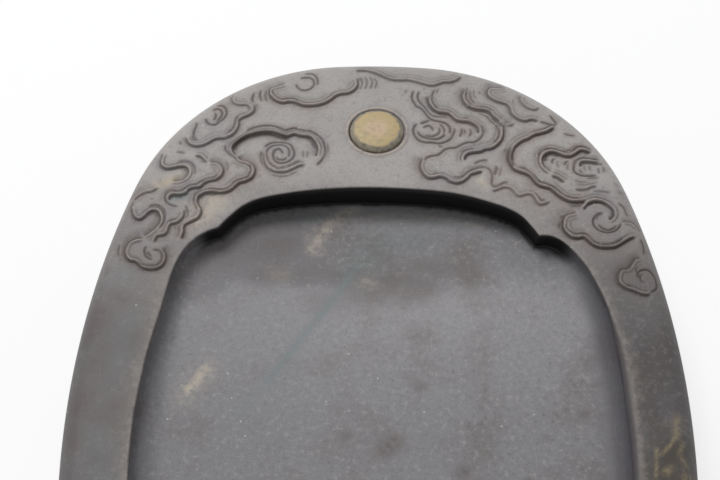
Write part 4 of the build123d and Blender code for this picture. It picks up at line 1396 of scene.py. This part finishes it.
# In metres and degrees
studio = {
    "floorHalf": 3,
    "floorDrop": 0.00005,
    "floorColour": (0.96, 0.965, 0.97, 1),
    "floorGlow": 0.7,  # share of white that the camera sees over the lit floor
    "daylight": 0.42,
    "key": {"place": (-0.36, 0.64, 1.14), "target": (0, 0, 0.02), "size": (0.6, 0.5), "power": 11.7},
    "camera": {"place": (-0.00232, -0.11072, 0.2557), "pitch": 33.5, "turn": 1.0136, "lens": 55, "sensor": 36},
}


# The camera sees the floor and the studio as white, and so does what mirrors them
def whitened(tree, share, lit, white, output):
    path = node(tree, "ShaderNodeLightPath").outputs
    mirrored = math2(tree, "ADD", path["Is Glossy Ray"], path["Is Transmission Ray"])
    seen = times(tree, math2(tree, "MAXIMUM", path["Is Camera Ray"], mirrored), share)
    both = node(tree, "ShaderNodeMixShader", {0: seen, 1: lit.outputs[0], 2: white.outputs[0]})
    node(tree, output, {"Surface": both.outputs[0]})


# Floor, light and camera
half = studio["floorHalf"]
floorData = bpy.data.meshes.new("floor")
floorData.from_pydata([(-half, -half, 0), (half, -half, 0), (half, half, 0), (-half, half, 0)], [], [(0, 1, 2, 3)])
backdrop = added("floor", floorData)
backdrop.location.z = -studio["floorDrop"]
paint = bpy.data.materials.new("floor")
tree = blank(paint)
lit = node(tree, "ShaderNodeBsdfDiffuse", {"Color": studio["floorColour"]})
glow = node(tree, "ShaderNodeEmission", {"Color": (1, 1, 1, 1), "Strength": 1.0})
whitened(tree, studio["floorGlow"], lit, glow, "ShaderNodeOutputMaterial")
floorData.materials.append(paint)

world = bpy.data.worlds.new("studio")
bpy.context.scene.world = world
tree = blank(world)
dim = node(tree, "ShaderNodeBackground", {"Color": (1, 1, 1, 1), "Strength": studio["daylight"]})
white = node(tree, "ShaderNodeBackground", {"Color": (1, 1, 1, 1), "Strength": 1.0})
whitened(tree, 1.0, dim, white, "ShaderNodeOutputWorld")

key = studio["key"]
data = bpy.data.lights.new("key", "AREA")
data.shape, data.energy = "RECTANGLE", key["power"]
data.size, data.size_y = key["size"]
light = added("key", data)
light.location = key["place"]
light.rotation_euler = (Vector(key["target"]) - light.location).to_track_quat("-Z", "Y").to_euler()

view = studio["camera"]
lens = bpy.data.cameras.new("camera")
lens.sensor_width, lens.lens = view["sensor"], view["lens"]
lens.clip_start = 0.01
viewer = added("camera", lens)
viewer.location = view["place"]
viewer.rotation_euler = (math.radians(view["pitch"]), 0, math.radians(view["turn"]))
bpy.context.scene.camera = viewer
bpy.context.scene.view_settings.view_transform = "Standard"

print("all pieces are in place")
